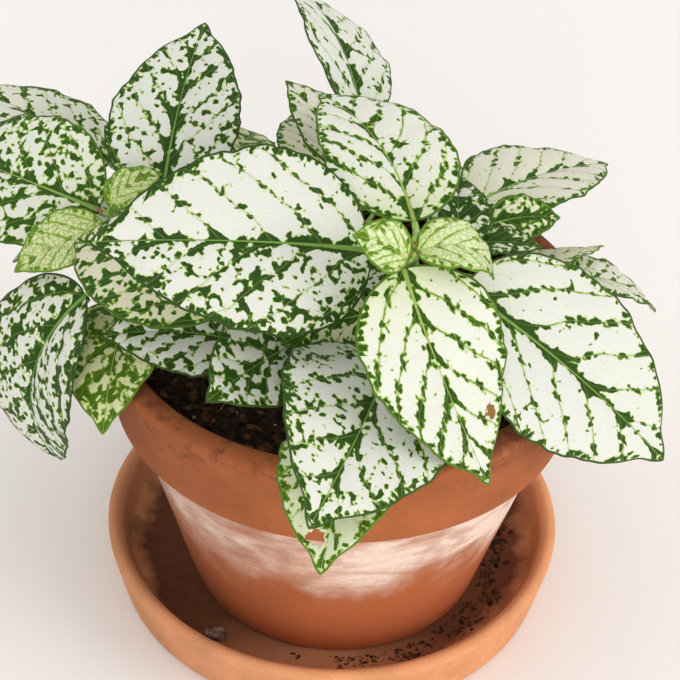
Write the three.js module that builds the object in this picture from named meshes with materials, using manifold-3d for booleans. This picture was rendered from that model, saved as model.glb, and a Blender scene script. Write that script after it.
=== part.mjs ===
// Potted polka dot plant: a clay pot on a clay saucer, filled with soil, with seven leafy stems.
// Millimetres, +Z up. The origin is the centre of the saucer's underside, on the surface it stands on.
// The front of the plant faces -Y, and +X is to the right when it is seen from the front.

import * as THREE from 'three';
import { mergeVertices } from 'three/addons/utils/BufferGeometryUtils.js';
import Module from 'manifold-3d';

const wasm = await Module();
wasm.setup();

// Driving dimensions of the clay ware.
const SIDES = 48;
const CLEAR = 0.3;

const SAUCER_HEIGHT = 16;
const SAUCER_RIM_RADIUS = 56.2;
const SAUCER_FOOT_RADIUS = 53;
const SAUCER_INNER_RADIUS = 52.4;
const SAUCER_FLOOR = 6;

const POT_CENTRE = [1, -4];
const POT_TOP = 82.8;
const POT_BASE = SAUCER_FLOOR + CLEAR;
const POT_FOOT_RADIUS = 35.6;
const POT_NECK_RADIUS = 49.8;
const BAND_BOTTOM = 60.3;
const BAND_BOTTOM_RADIUS = 53.3;
const RIM_RADIUS = 57;
const RIM_WALL = 6;
const POT_FLOOR_THICKNESS = 7;
const DRAIN_RADIUS = 6;

const SOIL_TOP = 74.6;
const SOIL_BUMP = 1.1;
const SOIL_GAP = 0.5;

// Driving dimensions of every leaf blade.
const BLADE_THICKNESS = 0.8;
const BLADE_BASE_BLUNT = 0.55;
const BLADE_TIP_TAPER = 0.92;
const BLADE_FOLD = 0.22;
const BLADE_CURL = 0.14;
const BLADE_WAVE = 0.35;
const WAVES_PER_BLADE = 3.5;
const BLADE_GAP = 0.35;
const BLADE_END = 0.985;
const ROW_CROWDING = 1.15;
const SMALL_BLADE = 26;
const SMALL_GRID = { rows: 6, columns: 4 };
const LARGE_GRID = { rows: 9, columns: 6 };

// Driving dimensions of the stems and leaf stalks.
const PETIOLE_RADIUS = 0.8;
const PETIOLE_FLARE = 0.3;
const PETIOLE_SIDES = 6;
const STEM_SIDES = 8;
const STEM_TOP_RADIUS = 1.2;
const STEM_FOOT_RADIUS = 2;
const STEM_HOLE_CLEAR = 0.45;

// Each stem is a smooth curve through a few points, from inside the soil to its growing tip.
const STEMS = {
  centre: [[10, -12, 64], [11, -15, 78], [12.5, -20, 92], [14, -26, 108], [13.2, -34.5, 122]],
  front: [[-3, -12, 64], [-4, -14, 76], [-6, -18, 86], [-11, -21, 96]],
  left: [[-20, -2, 64], [-24, -2, 77], [-34, -1, 86], [-45, 1, 93], [-52, 4.5, 99.5]],
  right: [[20, 8, 64], [21, 7, 76], [22, 4, 88], [24, 0, 98]],
  side: [[34, 12, 64], [35, 12, 75], [38, 12, 80]],
  back: [[-2, 12, 64], [-1, 12, 77], [1, 12, 90], [3, 12.5, 103]],
  rear: [[-22, 14, 64], [-24, 15, 76], [-31, 19, 85], [-42, 26, 92]],
};

// One row for each leaf: its stem and number, the height where its stalk leaves the stem, the base
// of its blade, then the heading and rise of the midrib there, how far the midrib arches down and
// swings sideways by the tip, the blade's length and width, and its roll and twist. Angles are in
// degrees, a heading is measured from +X towards +Y, and a roll lifts the blade's right side.
const LEAVES = [
  ['centre_1', 121.5, [13, -38.5, 123], 187, 45, 34, -2, 13.5, 11.5, 35, 3],
  ['centre_2', 121.5, [14.5, -37, 123.5], 11, 33, 120, 0, 22.5, 15, -9, 2],
  ['centre_3', 116, [14.5, -16.5, 116.5], 107, 29, 38, 27, 44.5, 30, 1, -8],
  ['centre_4', 118.5, [12, -38, 120.5], -59, -47, 4, 16, 48, 34.5, -7, 22],
  ['centre_5', 109, [5.5, -24, 114], 203, 21, 26, -21, 60, 41, 38, -6],
  ['centre_6', 109, [25.5, -26, 106.5], -10, -31, 15, -3, 61, 41.5, -13, -30],
  ['centre_7', 90, [11, -31, 92.5], -97, 15, 34, -19, 56, 39.5, 6, 26],
  ['centre_8', 77, [7, -41.5, 82.5], -103, 24, 60, 2, 45.5, 30.5, -9, -7],
  ['centre_9', 94, [7, -23, 96.5], 209, 12, 27, 3, 23, 15, 40, 0],
  ['centre_10', 99, [25, -6.5, 102.5], 91, 22, 22, -3, 23, 15, 1, 1],
  ['centre_11', 83, [22, -16, 89], -5, 12, 45, 0, 25, 17, -6, 0],
  ['centre_12', 78, [20, -24, 84], -42, 15, 45, 0, 20, 14, 0, 0],
  ['front_1', 95.5, [-21.5, -26.5, 104], 170, 14, 40, -37, 45.5, 31, 25, 3],
  ['front_2', 85, [-20.5, -26, 89], 183, 20, 32, 4, 31.5, 21, 29, -5],
  ['front_3', 86, [-6.5, -25, 91], 236, 18, 21, -3, 35.5, 24, 29, 5],
  ['front_4', 88, [-14, -10, 94], 164, 10, 30, 0, 24, 17, 0, 0],
  ['left_1', 93, [-42, 10, 101], 86, 36, 17, -10, 47.5, 32, 6, 3],
  ['left_2', 96, [-56, 7.5, 98.5], 158, 8, 29, -28, 51, 34, 26, 9],
  ['left_3', 96, [-54, 0.5, 99.5], 207, -3, 33, -4, 23, 16, 15, -1],
  ['left_4', 99, [-53, 3, 102.5], 39, 55, 80, -1, 16, 10.5, -6, 1],
  ['left_5', 90, [-56, -17.5, 93.5], 197, -36, 90, 22, 54.5, 36.5, 6, 12],
  ['left_6', 85, [-48, -8, 86], -94, 8, 50, 1, 37.5, 27, -14, -15],
  ['right_1', 92, [29.5, 17, 98.5], 40, 6, 26, -3, 43.5, 29.5, 2, 6],
  ['right_2', 97.5, [33, 5, 101.5], 16, 13, 35, 5, 17, 11.5, -26, -3],
  ['right_3', 97.5, [28.5, -3, 101.5], 3, 14, 34, 0, 16, 9.5, -7, 2],
  ['right_4', 86, [38.5, -3.5, 93.5], 44, 1, 27, 3, 31, 21, 25, 6],
  ['right_5', 82, [24, 26, 86], 75, 15, 60, 0, 40, 27, 4, 0],
  ['right_6', 84, [13, 2, 90], 200, 15, 40, 0, 24, 17, 6, 0],
  ['side_1', 79, [51.5, 13.5, 85.5], 23, -17, 53, 0, 38, 26, 0, 1],
  ['back_1', 102, [0, 15.5, 108.5], 131, 42, 25, 8, 25, 16.5, -4, -4],
  ['back_2', 90, [-6, 27.5, 99], 111, 17, 31, 1, 23.5, 16, 2, 1],
  ['back_3', 96, [3, 34, 109], 108, 45, 59, 12, 46.5, 31, -41, 6],
  ['back_4', 81, [0, 26, 86], 95, 15, 60, 0, 44, 30, -4, 0],
  ['back_5', 87, [7, 22, 92], 68, 18, 45, 0, 25, 17, 0, 0],
  ['rear_1', 84, [-28, 28.5, 98], 76, 7, 40, 1, 24, 16.5, -6, -5],
  ['rear_2', 91, [-57.5, 36.5, 91.5], 156, 24, 25, -6, 42, 28, -10, 4],
  ['rear_3', 82, [-30, 30, 88], 118, 12, 60, 6, 42, 29, 4, 0],
  ['rear_4', 80, [-44, 16, 85], 172, 8, 55, 0, 40, 27, 0, 0],
];

const clay = new THREE.MeshStandardMaterial({ color: '#b5693f', roughness: 0.9, metalness: 0 });
const paleClay = new THREE.MeshStandardMaterial({ color: '#cd8659', roughness: 0.9, metalness: 0 });
const earth = new THREE.MeshStandardMaterial({ color: '#2b211b', roughness: 1, metalness: 0 });
const stalkGreen = new THREE.MeshStandardMaterial({ color: '#8fb455', roughness: 0.6, metalness: 0 });
const leafWhite = new THREE.MeshStandardMaterial({ color: '#dfe6d2', roughness: 0.5, metalness: 0 });

const vec = (p) => new THREE.Vector3(p[0], p[1], p[2]);

// A closed geometry from rings of points: each ring is joined to the next, and both ends are capped.
function loft(rings) {
  const count = rings[0].length;
  const points = rings.flat();
  const faces = [];
  for (let r = 0; r < rings.length - 1; r += 1) {
    for (let i = 0; i < count; i += 1) {
      const a = r * count + i;
      const b = r * count + ((i + 1) % count);
      faces.push(a, b, b + count, a, b + count, a + count);
    }
  }
  const last = (rings.length - 1) * count;
  for (let i = 1; i < count - 1; i += 1) {
    faces.push(0, i + 1, i);
    faces.push(last, last + i, last + i + 1);
  }
  return indexed(points, faces);
}

function indexed(points, faces) {
  const geometry = new THREE.BufferGeometry();
  geometry.setFromPoints(points);
  geometry.setIndex(faces);
  return geometry;
}

// A round tube along a curve, with its radius running evenly from its foot to its top.
function tube(curve, footRadius, topRadius, sides, steps) {
  const frames = curve.computeFrenetFrames(steps, false);
  const rings = [];
  for (let s = 0; s <= steps; s += 1) {
    const centre = curve.getPointAt(s / steps);
    const radius = THREE.MathUtils.lerp(footRadius, topRadius, s / steps);
    const ring = [];
    for (let i = 0; i < sides; i += 1) {
      const turn = (2 * Math.PI * i) / sides;
      ring.push(centre.clone()
        .addScaledVector(frames.normals[s], radius * Math.cos(turn))
        .addScaledVector(frames.binormals[s], radius * Math.sin(turn)));
    }
    rings.push(ring);
  }
  return loft(rings);
}

function solid(geometry) {
  const bare = geometry.clone();
  bare.deleteAttribute('normal');
  bare.deleteAttribute('uv');
  const merged = mergeVertices(bare, 1e-3);
  return new wasm.Manifold(new wasm.Mesh({
    numProp: 3,
    vertProperties: new Float32Array(merged.attributes.position.array),
    triVerts: new Uint32Array(merged.index.array),
  }));
}

function fromSolid(manifold) {
  const mesh = manifold.getMesh();
  const geometry = new THREE.BufferGeometry();
  geometry.setAttribute('position', new THREE.BufferAttribute(mesh.vertProperties, 3));
  geometry.setIndex(new THREE.BufferAttribute(mesh.triVerts, 1));
  return geometry;
}

// A turned shape: the profile is radius and height, and the axis is raised to +Z.
function turned(profile) {
  const points = profile.map(([radius, height]) => new THREE.Vector2(radius, height));
  const geometry = new THREE.LatheGeometry([...points, points[0]], SIDES);
  geometry.rotateX(Math.PI / 2);
  return geometry;
}

function saucerGeometry() {
  const lip = (SAUCER_RIM_RADIUS - SAUCER_INNER_RADIUS) / 2;
  return turned([
    [0, 0], [SAUCER_FOOT_RADIUS, 0], [SAUCER_FOOT_RADIUS + 1.6, 1.5],
    [SAUCER_RIM_RADIUS, SAUCER_HEIGHT - 1.6],
    [SAUCER_RIM_RADIUS - 0.6, SAUCER_HEIGHT - 0.5], [SAUCER_RIM_RADIUS - lip, SAUCER_HEIGHT],
    [SAUCER_INNER_RADIUS + 0.6, SAUCER_HEIGHT - 0.5],
    [SAUCER_INNER_RADIUS, SAUCER_HEIGHT - 1.6], [SAUCER_INNER_RADIUS - 2, SAUCER_FLOOR + 1.8],
    [SAUCER_INNER_RADIUS - 4, SAUCER_FLOOR], [0, SAUCER_FLOOR],
  ]);
}

// The pot's inside follows its outside: straight walls under a thicker rim band.
const POT_INNER_TOP = RIM_RADIUS - RIM_WALL;
const POT_FLOOR = POT_BASE + POT_FLOOR_THICKNESS;
const POT_INNER_FLOOR = POT_FOOT_RADIUS - 4.6;
const POT_INNER_SHOULDER = POT_NECK_RADIUS - 3.2;

function potGeometry() {
  return turned([
    [DRAIN_RADIUS, POT_BASE], [POT_FOOT_RADIUS - 1, POT_BASE], [POT_FOOT_RADIUS, POT_BASE + 1],
    [POT_NECK_RADIUS, BAND_BOTTOM], [BAND_BOTTOM_RADIUS - 0.8, BAND_BOTTOM],
    [BAND_BOTTOM_RADIUS, BAND_BOTTOM + 0.8],
    [RIM_RADIUS, POT_TOP - 2], [RIM_RADIUS - 0.7, POT_TOP - 0.6], [RIM_RADIUS - 2.2, POT_TOP],
    [POT_INNER_TOP + 1.6, POT_TOP], [POT_INNER_TOP + 0.3, POT_TOP - 0.8],
    [POT_INNER_TOP - 0.2, POT_TOP - 2.4], [POT_INNER_SHOULDER, BAND_BOTTOM - 2],
    [POT_INNER_FLOOR, POT_FLOOR], [DRAIN_RADIUS, POT_FLOOR],
  ]);
}

// The soil fills the pot with a small gap to its wall, and its top is a low uneven crust.
function innerRadiusAt(height) {
  const share = (height - (BAND_BOTTOM - 2)) / (POT_TOP - 2.4 - (BAND_BOTTOM - 2));
  return THREE.MathUtils.lerp(POT_INNER_SHOULDER, POT_INNER_TOP - 0.2, share);
}

function soilBump(x, y) {
  return SOIL_BUMP * (0.6 * Math.sin(0.31 * x + 1.1) * Math.cos(0.27 * y)
    + 0.4 * Math.sin(0.83 * x - 0.47 * y));
}

function soilGeometry() {
  const rim = innerRadiusAt(SOIL_TOP) - SOIL_GAP;
  const crust = [1, 0.85, 0.68, 0.5, 0.3].map((share) => [rim * share, SOIL_TOP]);
  const geometry = turned([
    [0, POT_FLOOR + CLEAR], [POT_INNER_FLOOR - SOIL_GAP, POT_FLOOR + CLEAR],
    [POT_INNER_SHOULDER - SOIL_GAP, BAND_BOTTOM - 2], ...crust, [0, SOIL_TOP],
  ]);
  const position = geometry.attributes.position;
  for (let i = 0; i < position.count; i += 1) {
    if (position.getZ(i) > SOIL_TOP - 0.01) {
      position.setZ(i, SOIL_TOP + soilBump(position.getX(i), position.getY(i)));
    }
  }
  return geometry;
}

// A leaf's midrib: heading and rise change evenly along it, and the points are summed in short steps.
const MIDRIB_STEPS = 40;

function leafShape([name, from, base, heading, rise, arch, swing, length, width, roll, twist]) {
  const rad = THREE.MathUtils.degToRad;
  const direction = (t) => {
    const up = rad(rise - arch * t);
    const turn = rad(heading + swing * t);
    return new THREE.Vector3(Math.cos(up) * Math.cos(turn), Math.cos(up) * Math.sin(turn), Math.sin(up));
  };
  const midrib = [vec(base)];
  for (let i = 0; i < MIDRIB_STEPS; i += 1) {
    const step = direction((i + 0.5) / MIDRIB_STEPS).multiplyScalar(length / MIDRIB_STEPS);
    midrib.push(midrib[i].clone().add(step));
  }
  const along = (t) => {
    const place = t * MIDRIB_STEPS;
    const i = Math.min(Math.floor(place), MIDRIB_STEPS - 1);
    return midrib[i].clone().lerp(midrib[i + 1], place - i);
  };
  const sideAndNormal = (t) => {
    const turn = rad(heading + swing * t);
    const flat = new THREE.Vector3(Math.sin(turn), -Math.cos(turn), 0);
    const up = flat.clone().cross(direction(t));
    const lean = rad(roll + twist * t);
    return [
      flat.clone().multiplyScalar(Math.cos(lean)).addScaledVector(up, Math.sin(lean)),
      up.clone().multiplyScalar(Math.cos(lean)).addScaledVector(flat, -Math.sin(lean)),
    ];
  };
  return { name, from, base, length, width, along, direction, sideAndNormal };
}

// Half the blade's width along the midrib: blunt at the base, widest at a third, tapered to the tip.
const WIDEST = BLADE_BASE_BLUNT / (BLADE_BASE_BLUNT + BLADE_TIP_TAPER);
const PEAK = WIDEST ** BLADE_BASE_BLUNT * (1 - WIDEST) ** BLADE_TIP_TAPER;

function halfWidth(leaf, t) {
  return (leaf.width / 2) * (t ** BLADE_BASE_BLUNT) * ((1 - t) ** BLADE_TIP_TAPER) / PEAK;
}

function bladePoint(leaf, t, u) {
  const [side, normal] = leaf.sideAndNormal(t);
  const half = halfWidth(leaf, t);
  const out = Math.abs(u);
  const wave = BLADE_WAVE * u * out * Math.sin(2 * Math.PI * WAVES_PER_BLADE * t) * Math.sin(Math.PI * t);
  const lift = half * (BLADE_FOLD * out - BLADE_CURL * out * out) + wave;
  return leaf.along(t).addScaledVector(side, half * u).addScaledVector(normal, lift);
}

// The blade is a grid of points with the same thickness all over, triangulated alike on both faces.
function leafGeometry(leaf) {
  const { rows, columns } = leaf.length < SMALL_BLADE ? SMALL_GRID : LARGE_GRID;
  const start = BLADE_GAP / leaf.length;
  const at = (r, c) => {
    const t = start + (BLADE_END - start) * (r / rows) ** ROW_CROWDING;
    return bladePoint(leaf, t, (2 * c) / columns - 1);
  };
  const top = [];
  const bottom = [];
  for (let r = 0; r <= rows; r += 1) {
    for (let c = 0; c <= columns; c += 1) {
      const down = at(Math.min(r + 1, rows), c).sub(at(Math.max(r - 1, 0), c));
      const across = at(r, Math.min(c + 1, columns)).sub(at(r, Math.max(c - 1, 0)));
      const normal = across.cross(down).normalize();
      const middle = at(r, c);
      top.push(middle.clone().addScaledVector(normal, BLADE_THICKNESS / 2));
      bottom.push(middle.clone().addScaledVector(normal, -BLADE_THICKNESS / 2));
    }
  }
  const stride = columns + 1;
  const under = top.length;
  const faces = [];
  for (let r = 0; r < rows; r += 1) {
    for (let c = 0; c < columns; c += 1) {
      const a = r * stride + c;
      const b = a + 1;
      const d = a + stride;
      const e = d + 1;
      faces.push(a, b, e, a, e, d);
      faces.push(under + a, under + e, under + b, under + a, under + d, under + e);
    }
  }
  const corners = [[0, 0], [0, columns], [rows, columns], [rows, 0]];
  const edge = corners.flatMap(([r, c], side) => {
    const [nextR, nextC] = corners[(side + 1) % corners.length];
    const count = Math.abs(nextR - r) + Math.abs(nextC - c);
    return Array.from({ length: count }, (_, i) => {
      const share = i / count;
      return Math.round(r + (nextR - r) * share) * stride + Math.round(c + (nextC - c) * share);
    });
  });
  edge.forEach((from, i) => {
    const to = edge[(i + 1) % edge.length];
    faces.push(from, under + from, under + to, from, under + to, to);
  });
  return indexed([...top, ...bottom], faces);
}

const leaves = LEAVES.map(leafShape);

function stemCurve(points) {
  return new THREE.CatmullRomCurve3(points.map(vec));
}

// The point of a stem at a given height, found by halving.
const HALVINGS = 24;

function stemPointAt(curve, height) {
  let low = 0;
  let high = 1;
  for (let i = 0; i < HALVINGS; i += 1) {
    const middle = (low + high) / 2;
    const tooLow = curve.getPoint(middle).z < height;
    low = tooLow ? middle : low;
    high = tooLow ? high : middle;
  }
  return curve.getPoint((low + high) / 2);
}

// A leaf stalk leaves the stem rising a little and meets its blade in line with the midrib.
const LEAD_SHARE = 0.25;
const LEAD_RISE = 0.08;
const FOLLOW_SHARE = 0.35;
const STALK_STEP = 3;

function petiole(curve, leaf) {
  const start = stemPointAt(curve, leaf.from);
  const end = vec(leaf.base);
  const reach = start.distanceTo(end);
  const lead = start.clone().lerp(end, LEAD_SHARE);
  lead.z += reach * LEAD_RISE;
  const follow = end.clone().addScaledVector(leaf.direction(0), -reach * FOLLOW_SHARE);
  const path = new THREE.CubicBezierCurve3(start, lead, follow, end);
  const steps = THREE.MathUtils.clamp(Math.round(reach / STALK_STEP), 4, 8);
  return tube(path, PETIOLE_RADIUS + PETIOLE_FLARE, PETIOLE_RADIUS, PETIOLE_SIDES, steps);
}

function stemGeometry(name, points) {
  const curve = stemCurve(points);
  let body = solid(tube(curve, STEM_FOOT_RADIUS, STEM_TOP_RADIUS, STEM_SIDES, 4 * (points.length - 1)));
  for (const leaf of leaves.filter((each) => each.name.startsWith(`${name}_`))) {
    body = body.add(solid(petiole(curve, leaf)));
  }
  return fromSolid(body);
}

function stemHole(points) {
  const start = vec(points[0]);
  const below = start.clone().sub(vec(points[1]).sub(start).normalize().multiplyScalar(CLEAR * 2));
  const path = new THREE.CatmullRomCurve3([below, ...points.map(vec)]);
  const radius = STEM_FOOT_RADIUS + STEM_HOLE_CLEAR;
  return solid(tube(path, radius, radius, STEM_SIDES, 3 * points.length));
}

function addMesh(parent, name, geometry, material) {
  const mesh = new THREE.Mesh(geometry, material);
  mesh.name = name;
  parent.add(mesh);
}

const plant = new THREE.Group();
addMesh(plant, 'saucer', fromSolid(solid(saucerGeometry())), paleClay);

const pottedPart = new THREE.Group();
pottedPart.position.set(POT_CENTRE[0], POT_CENTRE[1], 0);
plant.add(pottedPart);
addMesh(pottedPart, 'pot', fromSolid(solid(potGeometry())), clay);

let soil = solid(soilGeometry()).translate([POT_CENTRE[0], POT_CENTRE[1], 0]);
for (const points of Object.values(STEMS)) {
  soil = soil.subtract(stemHole(points));
}
addMesh(plant, 'soil', fromSolid(soil), earth);

for (const [name, points] of Object.entries(STEMS)) {
  addMesh(plant, `stem_${name}`, stemGeometry(name, points), stalkGreen);
}
for (const leaf of leaves) {
  addMesh(plant, `leaf_${leaf.name}`, leafGeometry(leaf), leafWhite);
}

export default plant;
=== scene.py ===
import math
import random
from collections import namedtuple
from contextlib import contextmanager
from functools import partial

import bpy
import numpy as np
from bpy.props import FloatProperty, FloatVectorProperty, IntProperty, PointerProperty
from mathutils import Matrix, Vector, noise


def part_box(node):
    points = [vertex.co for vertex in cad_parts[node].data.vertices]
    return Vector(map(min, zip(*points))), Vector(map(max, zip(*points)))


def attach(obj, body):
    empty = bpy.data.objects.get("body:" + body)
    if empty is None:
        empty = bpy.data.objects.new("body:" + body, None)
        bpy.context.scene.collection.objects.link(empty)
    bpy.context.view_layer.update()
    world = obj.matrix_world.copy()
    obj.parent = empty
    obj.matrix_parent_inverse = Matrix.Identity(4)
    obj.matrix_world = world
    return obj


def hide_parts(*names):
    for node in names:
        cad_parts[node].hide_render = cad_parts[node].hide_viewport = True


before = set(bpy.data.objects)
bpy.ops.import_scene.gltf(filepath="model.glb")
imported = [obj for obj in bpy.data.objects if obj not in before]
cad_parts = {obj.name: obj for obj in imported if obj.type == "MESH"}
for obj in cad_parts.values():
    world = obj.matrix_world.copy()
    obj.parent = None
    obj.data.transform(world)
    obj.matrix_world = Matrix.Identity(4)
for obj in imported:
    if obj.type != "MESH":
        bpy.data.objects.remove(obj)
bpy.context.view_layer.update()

bl_info = {
    "name": "Potted polka dot plant",
    "version": (1, 0, 0),
    "blender": (4, 5, 0),
    "location": "View3D > Sidebar > Plant",
    "description": "Makes a polka dot plant in a clay pot on a clay saucer, piece by piece",
    "category": "Add Mesh",
}

# Everything is laid out in millimetres here and becomes metres where a mesh gets its points.
MM = 0.001

POT_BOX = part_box("pot")
SAUCER_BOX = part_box("saucer")
POT_CENTRE = ((POT_BOX[0].x + POT_BOX[1].x) / 2 / MM, (POT_BOX[0].y + POT_BOX[1].y) / 2 / MM)
POT_TOP = POT_BOX[1].z / MM
POT_BASE = POT_BOX[0].z / MM
RIM_RADIUS = (POT_BOX[1].x - POT_BOX[0].x) / 2 / MM
SAUCER_RADIUS = (SAUCER_BOX[1].x - SAUCER_BOX[0].x) / 2 / MM
SAUCER_HEIGHT = SAUCER_BOX[1].z / MM

# Heights and radii inside the clay ware and the soil, as in the solids.
SAUCER_FLOOR = 6.0
POT_FLOOR = 13.3
BAND_BOTTOM = 60.3
NECK_RADIUS = 49.8
FOOT_RADIUS = 35.6
DRAIN_RADIUS = 6
FLAT_RADIUS = 46.5
SOIL_TOP = 74.6
SOIL_RADIUS = 49.3
# How finely things are made, and how many small pieces there are.
OUTLINE_STEP = 2.5
LATHE_STEPS = 144
SOIL_STEPS = 130
STEM_VOXEL = 0.36
BARK_BITS = 520
PALE_GRAINS = 90
ROOTLETS = 26
CRUMBS = 1100
CRUMB_HEAPS = 90
HAIRS_PER_STEM = 700

# Each stem's curve, from inside the soil to its growing tip.
STEMS = {
    "centre": [(10, -12, 64), (11, -15, 78), (12.5, -20, 92), (14, -26, 108), (13.2, -34.5, 122)],
    "front": [(-3, -12, 64), (-4, -14, 76), (-6, -18, 86), (-11, -21, 96)],
    "left": [(-20, -2, 64), (-24, -2, 77), (-34, -1, 86), (-45, 1, 93), (-52, 4.5, 99.5)],
    "right": [(20, 8, 64), (21, 7, 76), (22, 4, 88), (24, 0, 98)],
    "side": [(34, 12, 64), (35, 12, 75), (38, 12, 80)],
    "back": [(-2, 12, 64), (-1, 12, 77), (1, 12, 90), (3, 12.5, 103)],
    "rear": [(-22, 14, 64), (-24, 15, 76), (-31, 19, 85), (-42, 26, 92)],
}

# The leaves of each stem, numbered in order: the height where the stalk leaves the stem, the base
# of the blade, the midrib's heading and rise there, its arch and swing by the tip, length, width,
# roll and twist. Angles are in degrees.
Leaf = namedtuple("Leaf", "name stem joint base heading rise arch swing length width roll twist")
LEAVES = [Leaf(f"{stem}_{number}", stem, *row) for stem, rows in {
    "centre": [
        (121.5, (13, -38.5, 123), 187, 45, 34, -2, 13.5, 11.5, 35, 3),
        (121.5, (14.5, -37, 123.5), 11, 33, 120, 0, 22.5, 15, -9, 2),
        (116, (14.5, -16.5, 116.5), 107, 29, 38, 27, 44.5, 30, 1, -8),
        (118.5, (12, -38, 120.5), -59, -47, 4, 16, 48, 34.5, -7, 22),
        (109, (5.5, -24, 114), 203, 21, 26, -21, 60, 41, 38, -6),
        (109, (25.5, -26, 106.5), -10, -31, 15, -3, 61, 41.5, -13, -30),
        (90, (11, -31, 92.5), -97, 15, 34, -19, 56, 39.5, 6, 26),
        (77, (7, -41.5, 82.5), -103, 24, 60, 2, 45.5, 30.5, -9, -7),
        (94, (7, -23, 96.5), 209, 12, 27, 3, 23, 15, 40, 0),
        (99, (25, -6.5, 102.5), 91, 22, 22, -3, 23, 15, 1, 1),
        (83, (22, -16, 89), -5, 12, 45, 0, 25, 17, -6, 0),
        (78, (20, -24, 84), -42, 15, 45, 0, 20, 14, 0, 0),
    ],
    "front": [
        (95.5, (-21.5, -26.5, 104), 170, 14, 40, -37, 45.5, 31, 25, 3),
        (85, (-20.5, -26, 89), 183, 20, 32, 4, 31.5, 21, 29, -5),
        (86, (-6.5, -25, 91), 236, 18, 21, -3, 35.5, 24, 29, 5),
        (88, (-14, -10, 94), 164, 10, 30, 0, 24, 17, 0, 0),
    ],
    "left": [
        (93, (-42, 10, 101), 86, 36, 17, -10, 47.5, 32, 6, 3),
        (96, (-56, 7.5, 98.5), 158, 8, 29, -28, 51, 34, 26, 9),
        (96, (-54, 0.5, 99.5), 207, -3, 33, -4, 23, 16, 15, -1),
        (99, (-53, 3, 102.5), 39, 55, 80, -1, 16, 10.5, -6, 1),
        (90, (-56, -17.5, 93.5), 197, -36, 90, 22, 54.5, 36.5, 6, 12),
        (85, (-48, -8, 86), -94, 8, 50, 1, 37.5, 27, -14, -15),
    ],
    "right": [
        (92, (29.5, 17, 98.5), 40, 6, 26, -3, 43.5, 29.5, 2, 6),
        (97.5, (33, 5, 101.5), 16, 13, 35, 5, 17, 11.5, -26, -3),
        (97.5, (28.5, -3, 101.5), 3, 14, 34, 0, 16, 9.5, -7, 2),
        (86, (38.5, -3.5, 93.5), 44, 1, 27, 3, 31, 21, 25, 6),
        (82, (24, 26, 86), 75, 15, 60, 0, 40, 27, 4, 0),
        (84, (13, 2, 90), 200, 15, 40, 0, 24, 17, 6, 0),
    ],
    "side": [
        (79, (53, 7, 86), 30, -14, 45, 0, 34, 16, -6, 1),
    ],
    "back": [
        (102, (0, 15.5, 108.5), 131, 42, 25, 8, 25, 16.5, -4, -4),
        (90, (-6, 27.5, 99), 111, 17, 31, 1, 23.5, 16, 2, 1),
        (96, (3, 34, 109), 108, 45, 59, 12, 46.5, 31, -41, 6),
        (81, (0, 26, 86), 95, 15, 60, 0, 44, 30, -4, 0),
        (87, (7, 22, 92), 68, 18, 45, 0, 25, 17, 0, 0),
    ],
    "rear": [
        (84, (-28, 28.5, 98), 76, 7, 40, 1, 24, 16.5, -6, -5),
        (91, (-57.5, 36.5, 91.5), 156, 24, 25, -6, 42, 28, -10, 4),
        (82, (-30, 30, 88), 118, 12, 60, 6, 42, 29, 4, 0),
        (80, (-44, 16, 85), 172, 8, 55, 0, 40, 27, 0, 0),
    ],
}.items() for number, row in enumerate(rows, 1)]

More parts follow.
